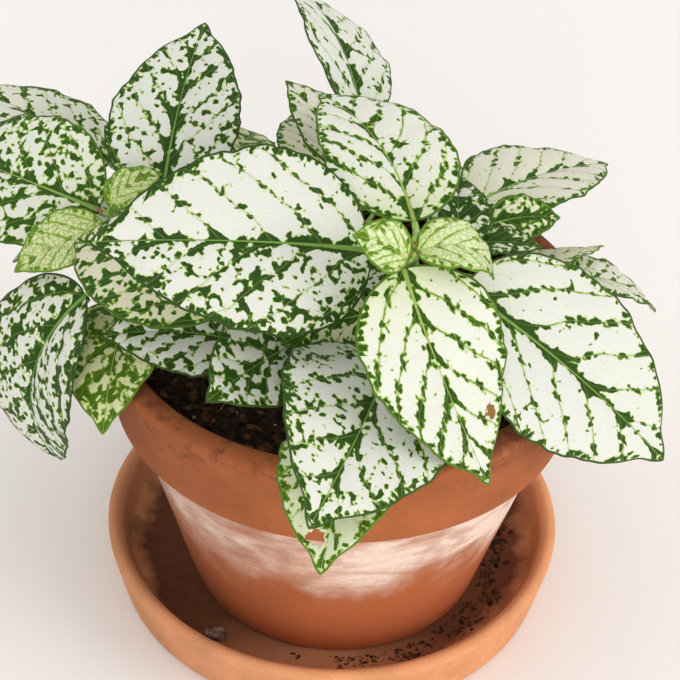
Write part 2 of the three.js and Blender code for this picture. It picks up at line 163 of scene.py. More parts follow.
# How each leaf is marked: how large its free spots are to the left and right of the midrib, how
# wide the green beside the midrib is, how young the leaf is from 0 to 1, how large the spots on its
# side veins are, how wide the green lines along those, and how beige it is tinted, from 0 to 1, as
# painted shade on a leaf that lies in shade. All but youth and that painted shade are in
# millimetres. Free spots differ in size, and reach 1.3 mm more than this.
Mark = namedtuple("Mark", "left right band youth bead line beige")
MARKS = {
    "centre_1": (-1.15, -1.15, -1.5, 0.95, -0.3, 0.17, 0.0),
    "centre_2": (-1.2, -1.2, -1.5, 0.95, -0.25, 0.17, 0.0),
    "centre_3": (-1.1, -1.0, 0.5, 0.55, 0.2, 0.12, 0.0),
    "centre_4": (-1.25, -1.25, 1.0, 0.6, 0.4, 0.2, 0.0),
    "centre_5": (-0.45, -1.35, 1.6, 0.0, 0.25, 0.02, 0.0),
    "centre_6": (-1.35, -1.3, 1.9, 0.15, 0.25, 0.12, 0.0),
    "centre_7": (-0.75, -0.7, 1.7, 0.1, 0.3, 0.02, 0.0),
    "centre_8": (-0.8, -0.8, 0.4, 0.8, 0.35, 0.05, 0.0),
    "centre_9": (-0.35, -0.35, 0.8, 0.35, 0.2, 0.02, 0.7),
    "centre_10": (-0.4, -0.4, 0.8, 0.1, 0.2, 0.02, 0.0),
    "front_1": (-0.4, -0.4, 0.7, 0.4, 0.2, 0.02, 0.6),
    "front_2": (-0.95, -0.95, 0.6, 0.1, 0.2, 0.02, 0.0),
    "front_3": (-0.4, -0.4, 0.8, 0.15, 0.2, 0.02, 0.0),
    "left_1": (-0.75, -0.75, 1.9, 0.05, 0.1, 0.0, 0.0),
    "left_2": (-0.35, -0.4, 1.6, 0.4, 0.15, 0.02, 0.0),
    "left_3": (-1.6, -1.6, -1.2, 1.0, -0.5, 0.22, 0.6),
    "left_4": (-1.6, -1.6, -1.2, 1.0, -0.5, 0.22, 0.6),
    "left_5": (-0.35, -0.4, 1.6, 0.05, 0.2, 0.05, 0.0),
    "left_6": (-0.25, -0.25, 1.2, 0.85, 0.3, 0.05, 0.7),
    "right_1": (-1.4, -1.4, 0.5, 0.3, 0.0, 0.04, 0.3),
    "right_2": (-0.8, -0.8, 1.0, 0.6, 0.0, 0.05, 0.4),
    "right_4": (-1.2, -1.2, -0.4, 0.7, -0.2, 0.03, 0.5),
    "side_1": (-1.2, -1.2, -0.5, 0.3, 0.0, 0.02, 0.2),
    "back_1": (-1.9, -1.9, -1.0, 0.3, -0.35, -0.1, 0.25),
    "back_2": (-1.7, -1.7, 0.0, 0.3, -0.2, 0.0, 0.45),
    "back_3": (-1.1, -1.1, 1.7, 0.05, 0.1, 0.02, 0.0),
    "rear_1": (-0.6, -0.6, 0.4, 0.8, 0.1, 0.05, 0.4),
    "rear_2": (-0.8, -0.8, 0.8, 0.15, 0.15, 0.02, 0.1),
}
USUAL_MARK = (-0.55, -0.6, 0.8, 0.15, 0.15, 0.02, 0.1)

# Radii of a stem and of a leaf stalk at their two ends, of the swollen joint between them, and of
# a hair.
STEM_RADII = (2.0, 1.2)
STALK_RADII = (1.15, 0.78)
JOINT_RADIUS = 1.85
HAIR_RADIUS = 0.028

# Along a blade, its width goes as t ** BLUNT_BASE * (1 - t) ** TIP_TAPER.
BLUNT_BASE = 0.55
TIP_TAPER = 0.92
WIDEST = BLUNT_BASE / (BLUNT_BASE + TIP_TAPER)
PEAK = WIDEST ** BLUNT_BASE * (1 - WIDEST) ** TIP_TAPER
# Each half of a blade rises from the midrib and curls down again, by these shares of its width.
BLADE_FOLD = 0.22
BLADE_CURL = 0.14
# From one side vein to the next, as a share of the blade's length.
VEIN_STEP = 0.185
# The pattern: from spot to spot along a side vein and along the margin, from one free spot to the
# next, and across a cell of the net.
VEIN_SPOTS = 1.8
MARGIN_SPOTS = 1.6
FREE_SPOTS = 2.3
NET_CELL = 2.8
# Blades shorter than this have thinner stalks and coarser meshes.
SMALL_BLADE = 26
# From this youth on, a leaf shows the net of its finest veins.
YOUNG_FROM = 0.85

# A hole near the tip: its place along and across the blade, and its size, as shares.
TORN_LEAF = "centre_8"
TORN_AT = (0.835, 0.36)
TORN_SIZE = (0.036, 0.3)
# A scab: its place along the blade as a share, and across it in millimetres.
SCABBED_LEAF = "centre_4"
SCAB_AT = (0.72, -7.3)


def to_linear(code):
    """An sRGB colour written as hex, as linear red, green, blue and alpha. Other values stay."""
    if not isinstance(code, str):
        return code
    shares = [int(code[i:i + 2], 16) / 255 for i in (1, 3, 5)]
    return [s / 12.92 if s <= 0.04045 else ((s + 0.055) / 1.055) ** 2.4 for s in shares] + [1.0]


def fill(made, *values, **named):
    """Links or sets a node's sockets: those that it shows in order, and others by their names."""
    shown = [socket for socket in made.inputs if socket.enabled]
    chosen = [made.inputs[name.replace("_", " ")] for name in named]
    for socket, value in [*zip(shown, values), *zip(chosen, named.values())]:
        if isinstance(value, bpy.types.Node):
            value = next(output for output in value.outputs if output.enabled)
        if isinstance(value, bpy.types.NodeSocket):
            made.id_data.links.new(value, socket)
        else:
            socket.default_value = to_linear(value)


def add_node(tree, kind, *values, stops=(), **named):
    """Adds one node of a kind, which its operation may follow. Names that start with a capital are
    its sockets, and others its settings."""
    kind, _, operation = kind.partition(" ")
    made = tree.nodes.new("ShaderNode" + kind)
    if operation:
        made.operation = operation
    if kind == "Mix":
        made.data_type = "RGBA"
    for name in [name for name in named if name.islower()]:
        setattr(made, name, named.pop(name))
    if stops:
        ramp = made.color_ramp.elements
        for place, _ in stops[1:-1]:
            ramp.new(place)
        for element, (place, colour) in zip(ramp, stops):
            element.position = place
            element.color = to_linear(colour)
    fill(made, *values, **named)
    return made


def new_material(name, **sockets):
    """A material, what adds a node to it, and its Principled shader with these sockets set."""
    material = bpy.data.materials.new(name)
    material.use_nodes = True
    shader = material.node_tree.nodes["Principled BSDF"]
    fill(shader, **sockets)
    return material, partial(add_node, material.node_tree), shader


def deselect():
    bpy.ops.object.select_all(action="DESELECT")


def pick(*pieces):
    """Selects only these pieces, and makes the first one active."""
    deselect()
    for piece in pieces:
        piece.select_set(True)
    bpy.context.view_layer.objects.active = pieces[0]
    return pieces[0]


def join(pieces):
    pick(*pieces)
    bpy.ops.object.join()
    return bpy.context.object


def add_object(name, data):
    piece = bpy.data.objects.new(name, data)
    bpy.context.scene.collection.objects.link(piece)
    return pick(piece)


def new_mesh(name, points, edges, faces):
    mesh = bpy.data.meshes.new(name)
    mesh.from_pydata(points, edges, faces)
    return add_object(name, mesh)


@contextmanager
def editing(chosen=None):
    """Edit mode on the active piece, with all of it selected, or only the points chosen."""
    bpy.ops.object.mode_set(mode="EDIT")
    bpy.ops.mesh.select_all(action="SELECT" if chosen is None else "DESELECT")
    if chosen is not None:
        bpy.ops.object.mode_set(mode="OBJECT")
        bpy.context.object.data.vertices.foreach_set("select", chosen)
        bpy.ops.object.mode_set(mode="EDIT")
    yield
    bpy.ops.object.mode_set(mode="OBJECT")


def apply_modifier(piece, kind, **settings):
    modifier = piece.modifiers.new(kind, kind)
    for name, value in settings.items():
        setattr(modifier, name, value)
    bpy.ops.object.modifier_apply(modifier=kind)


def points_of(piece):
    flat = np.empty(len(piece.data.vertices) * 3, np.float32)
    piece.data.vertices.foreach_get("co", flat)
    return flat.reshape(-1, 3).astype(float)


def set_points(piece, points):
    piece.data.vertices.foreach_set("co", np.asarray(points, np.float32).ravel())
    piece.data.update()


def settle(piece, name, slot, materials, *nodes):
    """Gives a piece its name and materials, applies its transform, and ties it to the frame."""
    pick(piece)
    bpy.ops.object.transform_apply(location=True, rotation=True, scale=True)
    piece.name = name
    piece.data.name = name
    for material in materials:
        piece.data.materials.append(material)
    if nodes:
        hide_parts(*nodes)
    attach(piece, "root")


class PlantSettings(bpy.types.PropertyGroup):
    """Sizes and colours of the leaves."""

    blade_thickness: FloatProperty(
        name="Blade thickness", description="Thickness of a leaf blade away from its margin",
        default=0.00042, min=0.0001, max=0.0008, unit="LENGTH")
    quilting: FloatProperty(
        name="Quilting", description="How far a blade bulges up between its side veins",
        default=0.0003, min=0.0, max=0.001, unit="LENGTH")
    leaf_white: FloatVectorProperty(
        name="Leaf white", description="Colour of a leaf between its markings",
        default=to_linear("#D0D2CC")[:3], size=3, subtype="COLOR")
    leaf_dark: FloatVectorProperty(
        name="Leaf dark green", description="Colour of the middle of a marking on an old leaf",
        default=to_linear("#26430D")[:3], size=3, subtype="COLOR")
    leaf_green: FloatVectorProperty(
        name="Leaf bright green", description="Colour of a marking on a young leaf",
        default=to_linear("#284A04")[:3], size=3, subtype="COLOR")


class ClaySettings(bpy.types.PropertyGroup):
    """Colours of the clay ware."""

    pot_clay: FloatVectorProperty(
        name="Pot clay", description="Colour of the pot's dry clay",
        default=to_linear("#A25B33")[:3], size=3, subtype="COLOR")
    saucer_clay: FloatVectorProperty(
        name="Saucer clay", description="Colour of the saucer's dry clay",
        default=to_linear("#D9976B")[:3], size=3, subtype="COLOR")
    wobble: FloatProperty(
        name="Wobble", description="How far the clay wall strays from a true circle",
        default=0.00015, min=0.0, max=0.001, unit="LENGTH")


class StageSettings(bpy.types.PropertyGroup):
    """Camera and floor."""

    elevation: FloatProperty(
        name="Elevation", description="Angle of the camera above the horizon",
        default=math.radians(39.3), subtype="ANGLE")
    roll: FloatProperty(
        name="Roll", description="Turn of the camera about its own line of sight",
        default=math.radians(2.6), subtype="ANGLE")
    distance: FloatProperty(
        name="Distance", description="From the camera to the point that it looks at",
        default=0.45, unit="LENGTH")
    focal_pixels: IntProperty(
        name="Focal length in pixels", description="For a square picture 680 pixels wide",
        default=1950)
    floor: FloatVectorProperty(
        name="Floor", description="Colour of the floor", default=to_linear("#EEECEA")[:3],
        size=3, subtype="COLOR")


class PLANT_OT_stage(bpy.types.Operator):
    """Sets up the camera, the pale floor and the soft light"""

    bl_idname = "plant.make_stage"
    bl_label = "Make the stage"
    image_width = 680

    def execute(self, context):
        stage = context.scene.stage_settings
        target = Vector((-0.1, -4.1, 73.1)) * MM
        ahead = Vector((0, math.cos(stage.elevation), -math.sin(stage.elevation)))
        level = Vector((1, 0, 0))
        above = level.cross(ahead)
        right = level * math.cos(stage.roll) + above * math.sin(stage.roll)
        up = above * math.cos(stage.roll) - level * math.sin(stage.roll)
        deselect()
        bpy.ops.object.camera_add()
        camera = context.object
        camera.name = "camera"
        turn = Matrix((right, up, -ahead)).transposed()
        camera.matrix_world = Matrix.Translation(target - ahead * stage.distance) @ turn.to_4x4()
        camera.data.sensor_width = 36.0
        camera.data.lens = stage.focal_pixels * camera.data.sensor_width / self.image_width
        camera.data.clip_start = 0.01
        context.scene.camera = camera
        self.make_floor(stage)
        self.make_light(context, target)
        return {"FINISHED"}

    def make_floor(self, stage):
        deselect()
        bpy.ops.mesh.primitive_plane_add(size=6, location=(0, 0, 0))
        floor = bpy.context.object
        floor.name = "floor"
        # Matte painted board: no gloss, faint uneven tone over about 20 cm.
        material, node, shader = new_material("matte_painted_board", Roughness=0.9, IOR=1.45,
                                              Specular_IOR_Level=0.15)
        coordinates = node("TexCoord").outputs["Object"]
        tone = node("TexNoise", Vector=coordinates, Scale=5.0, Detail=2.0)
        darker = [c * 0.97 for c in stage.floor]
        fill(shader, Base_Color=node("Mix", tone, [*darker, 1], [*stage.floor, 1]))
        floor.data.materials.append(material)

    def make_light(self, context, target):
        # Each lamp's place and size in metres, power in watts and colour: a wide window at the
        # right, a soft ceiling, and light that a pale room throws back from the front.
        lamps = [
            ("window", (2.5, -1.0, 1.35), 1.6, 26.0, "#FFFBF5"),
            ("ceiling", (-0.3, 0.1, 3.0), 2.6, 9.0, "#FFFDFA"),
            ("fill", (0.0, -2.3, 0.8), 1.6, 21.0, "#FFFCF8"),
        ]
        for name, place, size, power, colour in lamps:
            deselect()
            bpy.ops.object.light_add(type="AREA", location=place)
            lamp = context.object
            lamp.name = name
            lamp.data.shape = "DISK"
            lamp.data.size = size
            lamp.data.energy = power
            lamp.data.color = to_linear(colour)[:3]
            lamp.rotation_mode = "QUATERNION"
            lamp.rotation_quaternion = (target - Vector(place)).to_track_quat("-Z", "Y")
        world = bpy.data.worlds.new("studio")
        world.use_nodes = True
        fill(world.node_tree.nodes["Background"], Color="#FFFDFB", Strength=0.86)
        context.scene.world = world
        context.scene.view_settings.view_transform = "Standard"


def rounded(corners, arc_steps=5):
    """An outline from corners (radius, height, rounding), each of them turned into a short arc."""
    outline = []
    for i, (x, z, rounding) in enumerate(corners):
        here = Vector((x, z))
        if rounding == 0 or i in (0, len(corners) - 1):
            outline.append(here)
            continue
        before = Vector(corners[i - 1][:2]) - here
        after = Vector(corners[i + 1][:2]) - here
        reach = min(rounding, before.length * 0.48, after.length * 0.48)
        start = here + before.normalized() * reach
        end = here + after.normalized() * reach
        for k in range(arc_steps + 1):
            share = k / arc_steps
            rest = 1 - share
            outline.append(start * rest ** 2 + here * 2 * share * rest + end * share ** 2)
    return outline


def finer(outline):
    """The same outline, with points added so that none of its steps is longer than OUTLINE_STEP."""
    dense = [outline[0]]
    for before, after in zip(outline, outline[1:]):
        parts = max(1, math.ceil((after - before).length / OUTLINE_STEP))
        dense += [before.lerp(after, k / parts) for k in range(1, parts + 1)]
    return dense


def spin_up(name, corners, centre, wobble):
    """Spins an outline about an upright axis. The wall strays a little from a true circle."""
    outline = finer(rounded(corners))
    points = [((centre[0] + p.x) * MM, centre[1] * MM, p.y * MM) for p in outline]
    piece = new_mesh(name, points, [(i, i + 1) for i in range(len(points) - 1)], [])
    axis_place = (centre[0] * MM, centre[1] * MM, 0)
    with editing():
        bpy.ops.mesh.spin(steps=LATHE_STEPS, angle=2 * math.pi, center=axis_place, axis=(0, 0, 1))
        bpy.ops.mesh.select_all(action="SELECT")
        bpy.ops.mesh.remove_doubles(threshold=0.00002)
        bpy.ops.mesh.normals_make_consistent(inside=False)
    moved = []
    for p in points_of(piece):
        out = Vector((p[0] - axis_place[0], p[1] - axis_place[1], 0))
        # Swells 36 and 11 mm across. Points on the axis stay there.
        stray = noise.noise(Vector(p) * 28) + 0.4 * noise.noise(Vector(p) * 90)
        moved.append(Vector(p) + (out.normalized() * wobble * stray if out.length > 1e-5 else out))
    set_points(piece, moved)
    bpy.ops.object.shade_smooth()
    return piece


def clay_material(name, clay, pale, damp, bloom_top, bloom_bottom, lip, silt_shade_radius):
    """Unglazed earthenware: an open, matte body fired red, with a fine sandy tooth. Salts carried
    through the damp wall dry as a pale bloom between two heights, painted denser towards +X as
    painted light, and below it the clay stays dark, darkened further towards -X as painted shade.
    The whole
    -X side is a painted shade darker too. The lip is scuffed. Inside the silt radius, standing
    water has left the clay nearly brown, and the same mask paints shade into the saucer's hollow.
    Heights and radii are in metres, and one that is out of reach leaves its effect out."""
    material, node, shader = new_material(name, Roughness=0.86, IOR=1.5, Specular_IOR_Level=0.25)
    coordinates = node("TexCoord").outputs["Object"]
    across, depth, height = node("SeparateXYZ", coordinates).outputs
    # Clouds of tone 12 mm across.
    cloud = node("TexNoise", Vector=coordinates, Scale=85.0, Detail=4.0)
    # Grains in the clay are finer than this; they are drawn 0.5 mm across so that they show.
    grain = node("TexNoise", Vector=coordinates, Scale=1900.0, Detail=2.0)
    # Smears that run round the pot, about 17 mm long and 5 mm high.
    squeezed = node("Mapping", Vector=coordinates, Scale=(60.0, 60.0, 190.0))
    streak = node("TexNoise", Vector=squeezed, Scale=1.0, Detail=5.0, Roughness=0.62,
                  Distortion=0.6)
    darker, lighter = ([min(1, c * share) for c in clay] + [1.0] for share in (0.66, 1.32))
    fired = node("Mix", cloud, darker, lighter)
    # The bloom's lower edge wanders up and down by about 10 mm, in lobes 24 mm wide.
    blotch = node("TexNoise", Vector=coordinates, Scale=42.0, Detail=5.0, Roughness=0.62)
    wander = node("Math SUBTRACT", blotch, 0.5)
    shift = node("Math MULTIPLY", wander, 0.042)
    level = node("Math ADD", height, shift)
    low = node("MapRange", level, bloom_bottom - 0.012, bloom_bottom + 0.012,
               interpolation_type="SMOOTHSTEP")
    high = node("MapRange", height, bloom_top, bloom_top + 0.0006, 1.0, 0.0)
    band = node("Math MULTIPLY", low, high)
    # It is smeared, and uneven in clouds about 14 mm across.
    patch = node("MapRange", streak, 0.36, 0.6, 0.4, 1.0)
    mottle = node("TexNoise", Vector=coordinates, Scale=70.0, Detail=3.0)
    dust = node("MapRange", mottle, 0.4, 0.6, 0.5, 1.1)
    dusty = node("Math MULTIPLY", patch, dust)
    # The bloom is real, and it is painted denser towards +X, the side that the window lamp lights,
    # as painted light.
    painted_light_side = node("MapRange", across, 0.0, 0.035, 0.98, 2.15)
    smeared = node("Math MULTIPLY", dusty, painted_light_side)
    bloom = node("Math MULTIPLY", band, smeared, use_clamp=True)
    # Below it the clay is damp and darker, and towards -X, away from the window lamp, it is
    # darkened further as painted shade.
    below = node("MapRange", level, bloom_bottom - 0.016, bloom_bottom + 0.004, 0.85, 0.0)
    damp_painted_shade = node("MapRange", across, -0.034, -0.004, 0.62, 1.0)
    damp_and_shade_tone = node("VectorMath SCALE", to_linear(damp)[:3], Scale=damp_painted_shade)
    wet_and_shaded = node("Mix", below, fired, damp_and_shade_tone)
    salted = node("Mix", bloom, wet_and_shaded, pale)
    # Scuffs 1 to 3 mm across on the lip, closest where the pot has been gripped, towards +X.
    marks = node("TexNoise", Vector=coordinates, Scale=320.0, Detail=3.0, Roughness=0.7)
    gripped = node("MapRange", across, 0.022, 0.034, 0.0, 0.15)
    worn = node("Math ADD", marks, gripped)
    rubbed = node("MapRange", worn, 0.5, 0.66, 0.0, 0.62)
    at_lip = node("MapRange", level, lip - 0.011, lip - 0.002)
    scuff = node("Math MULTIPLY", rubbed, at_lip)
    scuffed = node("Mix", scuff, salted, "#5E3826")
    # Silt where water stood, darkened further as painted shade in the saucer's hollow. It has a
    # wavy edge, and less of it lies towards -Y, where the water was shallow.
    flat = node("VectorMath MULTIPLY", coordinates, (1.0, 1.0, 0.0))
    radius = node("VectorMath LENGTH", flat)
    wavy = node("Math MULTIPLY_ADD", wander, 0.02, radius)
    silt_shade_inside = node("MapRange", wavy, silt_shade_radius - 0.004, silt_shade_radius + 0.001, 0.9, 0.0)
    aside = node("Math ABSOLUTE", across)
    toward_back = node("Math MULTIPLY_ADD", aside, 0.6, depth)
    silt_shade_fade = node("MapRange", toward_back, -0.036, -0.014, 0.5, 1.0)
    silt_shade_share = node("Math MULTIPLY", silt_shade_inside, silt_shade_fade)
    silt_shade_tone = node("Mix", marks, "#260E05", "#74381C")
    silted_and_shaded = node("Mix", silt_shade_share, scuffed, silt_shade_tone)
    # Grains differ in tone, and the side towards -X, away from the window lamp, is darkened as
    # painted shade.
    speck = node("MapRange", grain, 0.25, 0.75, 0.9, 1.08)
    shade = node("MapRange", across, -0.045, 0.0, 0.76, 1.0)
    shaded = node("Math MULTIPLY", speck, shade)
    toned = node("VectorMath SCALE", silted_and_shaded, Scale=shaded)
    rough = node("Math ADD", streak, grain)
    bump = node("Bump", Height=rough, Strength=0.28, Distance=0.00025)
    fill(shader, Base_Color=toned, Normal=bump)
    return material


class PLANT_OT_saucer(bpy.types.Operator):
    """Makes the clay saucer, with its rounded lip and sunken floor"""

    bl_idname = "plant.make_saucer"
    bl_label = "Make the saucer"

    def execute(self, context):
        clay = context.scene.clay_settings
        corners = [
            (0, 0, 0), (53, 0, 1.4), (SAUCER_RADIUS, SAUCER_HEIGHT - 1.2, 1.6),
            (SAUCER_RADIUS - 1.9, SAUCER_HEIGHT, 2.2), (52.2, SAUCER_HEIGHT - 1.4, 1.8),
            (50.2, 7.4, 3.2), (FLAT_RADIUS, SAUCER_FLOOR, 3), (0, SAUCER_FLOOR, 0),
        ]
        piece = spin_up("clay_saucer", corners, (0, 0), clay.wobble)
        # The silt radius also bounds the painted shade on the saucer's floor and inner wall.
        material = clay_material("unglazed_terracotta_saucer", clay.saucer_clay, "#D8A684",
                                 "#9A5432", bloom_top=-1.0, bloom_bottom=-1.0, lip=1.0,
                                 silt_shade_radius=0.0505)
        settle(piece, "clay_saucer", "saucer_clay", [material], "saucer")
        return {"FINISHED"}


class PLANT_OT_pot(bpy.types.Operator):
    """Makes the clay pot: a tapered wall under a thick rim band, with a drain hole in its floor"""

    bl_idname = "plant.make_pot"
    bl_label = "Make the pot"

    def execute(self, context):
        clay = context.scene.clay_settings
        drain = (DRAIN_RADIUS, POT_BASE, 0)
        corners = [
            drain, (FOOT_RADIUS, POT_BASE, 1.4), (NECK_RADIUS, BAND_BOTTOM, 0.8),
            (53.3, BAND_BOTTOM, 1.1), (RIM_RADIUS, POT_TOP - 0.6, 2.4),
            (RIM_RADIUS - 3.4, POT_TOP, 2.2), (51.2, POT_TOP - 0.5, 2.0), (50.8, 80.4, 1.2),
            (46.6, 58.3, 3), (31, POT_FLOOR, 4), (DRAIN_RADIUS, POT_FLOOR, 0), drain,
        ]
        piece = spin_up("clay_pot", corners, POT_CENTRE, clay.wobble)
        material = clay_material("unglazed_terracotta_pot", clay.pot_clay, "#E3CABB", "#AC5C34",
                                 bloom_top=BAND_BOTTOM * MM - 0.0004, bloom_bottom=0.040,
                                 lip=POT_TOP * MM, silt_shade_radius=-1.0)
        settle(piece, "clay_pot", "pot_clay", [material], "pot")
        return {"FINISHED"}


def soil_height(x, y):
    """Height of the soil's crust above a place seen from the pot's centre: swells and crumbs."""
    swell = 0.6 * math.sin(0.31 * x + 1.1) * math.cos(0.27 * y)
    swell += 0.4 * math.sin(0.83 * x - 0.47 * y)
    crumb = 0.9 * noise.noise(Vector((x * 0.45, y * 0.45, 3)))
    crumb += 0.5 * noise.noise(Vector((x, y, 8)))
    return SOIL_TOP + 0.9 * swell + crumb


def on_soil(x, y, lift=0.0):
    """A point on the soil, or above it, at a place seen from the pot's centre."""
    return (POT_CENTRE[0] + x, POT_CENTRE[1] + y, soil_height(x, y) + lift)


class PLANT_OT_soil(bpy.types.Operator):
    """Makes the soil's crumbly top and the bark, grains and rootlets that lie on it"""

    bl_idname = "plant.make_soil"
    bl_label = "Make the soil"

    def execute(self, context):
        self.make_crust()
        draw = random.Random(41)
        bark = earth_material("shredded_pine_bark", "#3A281C", "#6B4A30")
        pumice = earth_material("pumice_grains", "#8C7A66", "#C7B8A2")
        self.scatter(draw, "bark_bits", BARK_BITS, (0.9, 3.4), 0.45, bark)
        self.scatter(draw, "pale_grains", PALE_GRAINS, (0.5, 1.3), 0.8, pumice)
        self.make_rootlets(draw)
        self.make_crumbs(draw)
        return {"FINISHED"}

    def make_crust(self):
        deselect()
        bpy.ops.mesh.primitive_grid_add(x_subdivisions=SOIL_STEPS, y_subdivisions=SOIL_STEPS,
                                        size=2)
        piece = bpy.context.object
        moved = []
        for x, y, _ in points_of(piece):
            # The square grid is pressed into a disc, so that its border follows the pot's wall.
            x, y = x * math.sqrt(1 - y * y / 2), y * math.sqrt(1 - x * x / 2)
            moved.append(Vector(on_soil(SOIL_RADIUS * x, SOIL_RADIUS * y)) * MM)
        set_points(piece, moved)
        with editing():
            bpy.ops.mesh.region_to_loop()
            bpy.ops.mesh.extrude_edges_move(TRANSFORM_OT_translate={"value": (0, 0, -0.012)})
            bpy.ops.mesh.edge_face_add()
            bpy.ops.mesh.select_all(action="SELECT")
            bpy.ops.mesh.normals_make_consistent(inside=False)
        bpy.ops.object.shade_smooth()
        material = earth_material("peaty_potting_mix", "#140E0A", "#3B2B20")
        settle(piece, "soil_crust", "soil", [material], "soil")

    def scatter(self, draw, name, count, sizes, thin, material):
        """Lays small rough lumps flat on the soil, fused into one piece."""
        lumps = []
        for _ in range(count):
            turn = draw.uniform(0, 2 * math.pi)
            reach = (SOIL_RADIUS - 1.5) * math.sqrt(draw.random())
            size = draw.uniform(*sizes)
            place = on_soil(reach * math.cos(turn), reach * math.sin(turn), 0.12 * size)
            lumps.append((*place, size, size * thin))
        lay_lumps(draw, name, lumps, material)

    def make_rootlets(self, draw):
        """Dry root hairs about 0.3 mm thick, curling over the crust."""
        threads = []
        for _ in range(ROOTLETS):
            turn = draw.uniform(0, 2 * math.pi)
            x = draw.uniform(-40, 40)
            y = draw.uniform(-46, 20)
            path = []
            for k in range(9):
                path.append(on_soil(x, y, 0.5 + 0.9 * math.sin(math.pi * k / 8)))
                turn += draw.uniform(-0.5, 0.5)
                x += 1.3 * math.cos(turn)
                y += 1.3 * math.sin(turn)
            if math.hypot(x, y) < SOIL_RADIUS - 4:
                threads.append(tube("rootlet", path, [0.16] * len(path), 2))
        material = earth_material("dry_rootlets", "#5E4A33", "#A58C66")
        settle(join(threads), "rootlets", "soil", [material])

    def make_crumbs(self, draw):
        """Soil crumbs and one pebble that have fallen into the saucer."""
        lumps = []
        # They lie in small heaps, most of them at the right. A heap is an angle and a radius.
        heaps = [(draw.gauss(-28, 42), draw.uniform(34, 46)) for _ in range(CRUMB_HEAPS)]
        while len(lumps) < CRUMBS:
            turn, reach = draw.choice(heaps)
            turn = math.radians(turn)
            x = reach * math.cos(turn) + draw.gauss(0, 1.5)
            y = reach * math.sin(turn) + draw.gauss(0, 1.5)
            if math.hypot(x, y) > FLAT_RADIUS:
                continue
            if math.hypot(x - POT_CENTRE[0], y - POT_CENTRE[1]) > FOOT_RADIUS + 1.5:
                size = draw.uniform(0.25, 0.55) * draw.choice((1, 1, 1, 2.4))
                lumps.append((x, y, SAUCER_FLOOR + 0.1 * size, size, size * 0.6))
        pebble = (-26.6, -36.4, SAUCER_FLOOR + 1.3, 4.8, 3.0)
        crumb = earth_material("soil_crumbs", "#22150D", "#62402A")
        quartz = earth_material("quartz_pebble", "#32241E", "#8D7466")
        lay_lumps(draw, "saucer_crumbs", lumps, crumb)
        lay_lumps(draw, "pebble", [pebble], quartz)


def lay_lumps(draw, name, lumps, material):
    """Copies a small faceted lump to each place (x, y, z, size, thickness), no two alike. A lump on
    its own is finer and rounder."""
    single = len(lumps) == 1
    deselect()
    bpy.ops.mesh.primitive_ico_sphere_add(subdivisions=4 if single else 1, radius=0.5)
    base = bpy.context.object
    shape = points_of(base)
    facets = [tuple(facet.vertices) for facet in base.data.polygons]
    bpy.data.objects.remove(base)
    points = []
    faces = []
    for x, y, z, size, thick in lumps:
        spin = Matrix.Rotation(draw.uniform(0, math.pi), 3, "Z")
        turn = spin @ Matrix.Rotation(draw.uniform(-0.4, 0.4), 3, "X")
        long = 1.15 if single else draw.uniform(0.9, 1.7)
        start = len(points)
        for p in shape:
            rough = 0.35 * noise.noise(Vector(p) * 2.6) if single else draw.uniform(-0.22, 0.22)
            local = Vector((p[0] * size * long, p[1] * size / long, p[2] * thick)) * (1 + rough)
            points.append((turn @ local + Vector((x, y, z))) * MM)
        faces += [tuple(start + i for i in facet) for facet in facets]
    piece = new_mesh(name, points, [], faces)
    bpy.ops.object.shade_smooth_by_angle(angle=math.radians(50))
    settle(piece, name, "soil", [material])


def earth_material(name, dark, light):
    """Plant matter and mineral bits: matte, in a mix of two tones that change from bit to bit."""
    material, node, shader = new_material(name, Roughness=0.92, IOR=1.4, Specular_IOR_Level=0.2)
    coordinates = node("TexCoord").outputs["Object"]
    # Tones change every 1.7 mm, so that neighbouring bits differ. Crumbs are 0.4 mm across.
    tone = node("TexNoise", Vector=coordinates, Scale=600.0, Detail=3.0)
    crumb = node("TexNoise", Vector=coordinates, Scale=2500.0, Detail=2.0)
    colour = node("ValToRGB", tone, stops=[(0.35, dark), (0.62, light)])
    bump = node("Bump", Height=crumb, Strength=0.6, Distance=0.0003)
    fill(shader, Base_Color=colour, Normal=bump)
    return material


def tube(name, path, radii, resolution):
    """A round tube through points, as a bevelled curve made a mesh."""
    curve = bpy.data.curves.new(name, "CURVE")
    curve.dimensions = "3D"
    curve.bevel_depth = MM
    curve.bevel_resolution = resolution
    curve.use_fill_caps = True
    spline = curve.splines.new("POLY")
    spline.points.add(len(path) - 1)
    for point, place, radius in zip(spline.points, path, radii):
        point.co = (*(Vector(place) * MM), 1)
        point.radius = radius
    add_object(name, curve)
    bpy.ops.object.convert(target="MESH")
    return bpy.context.object


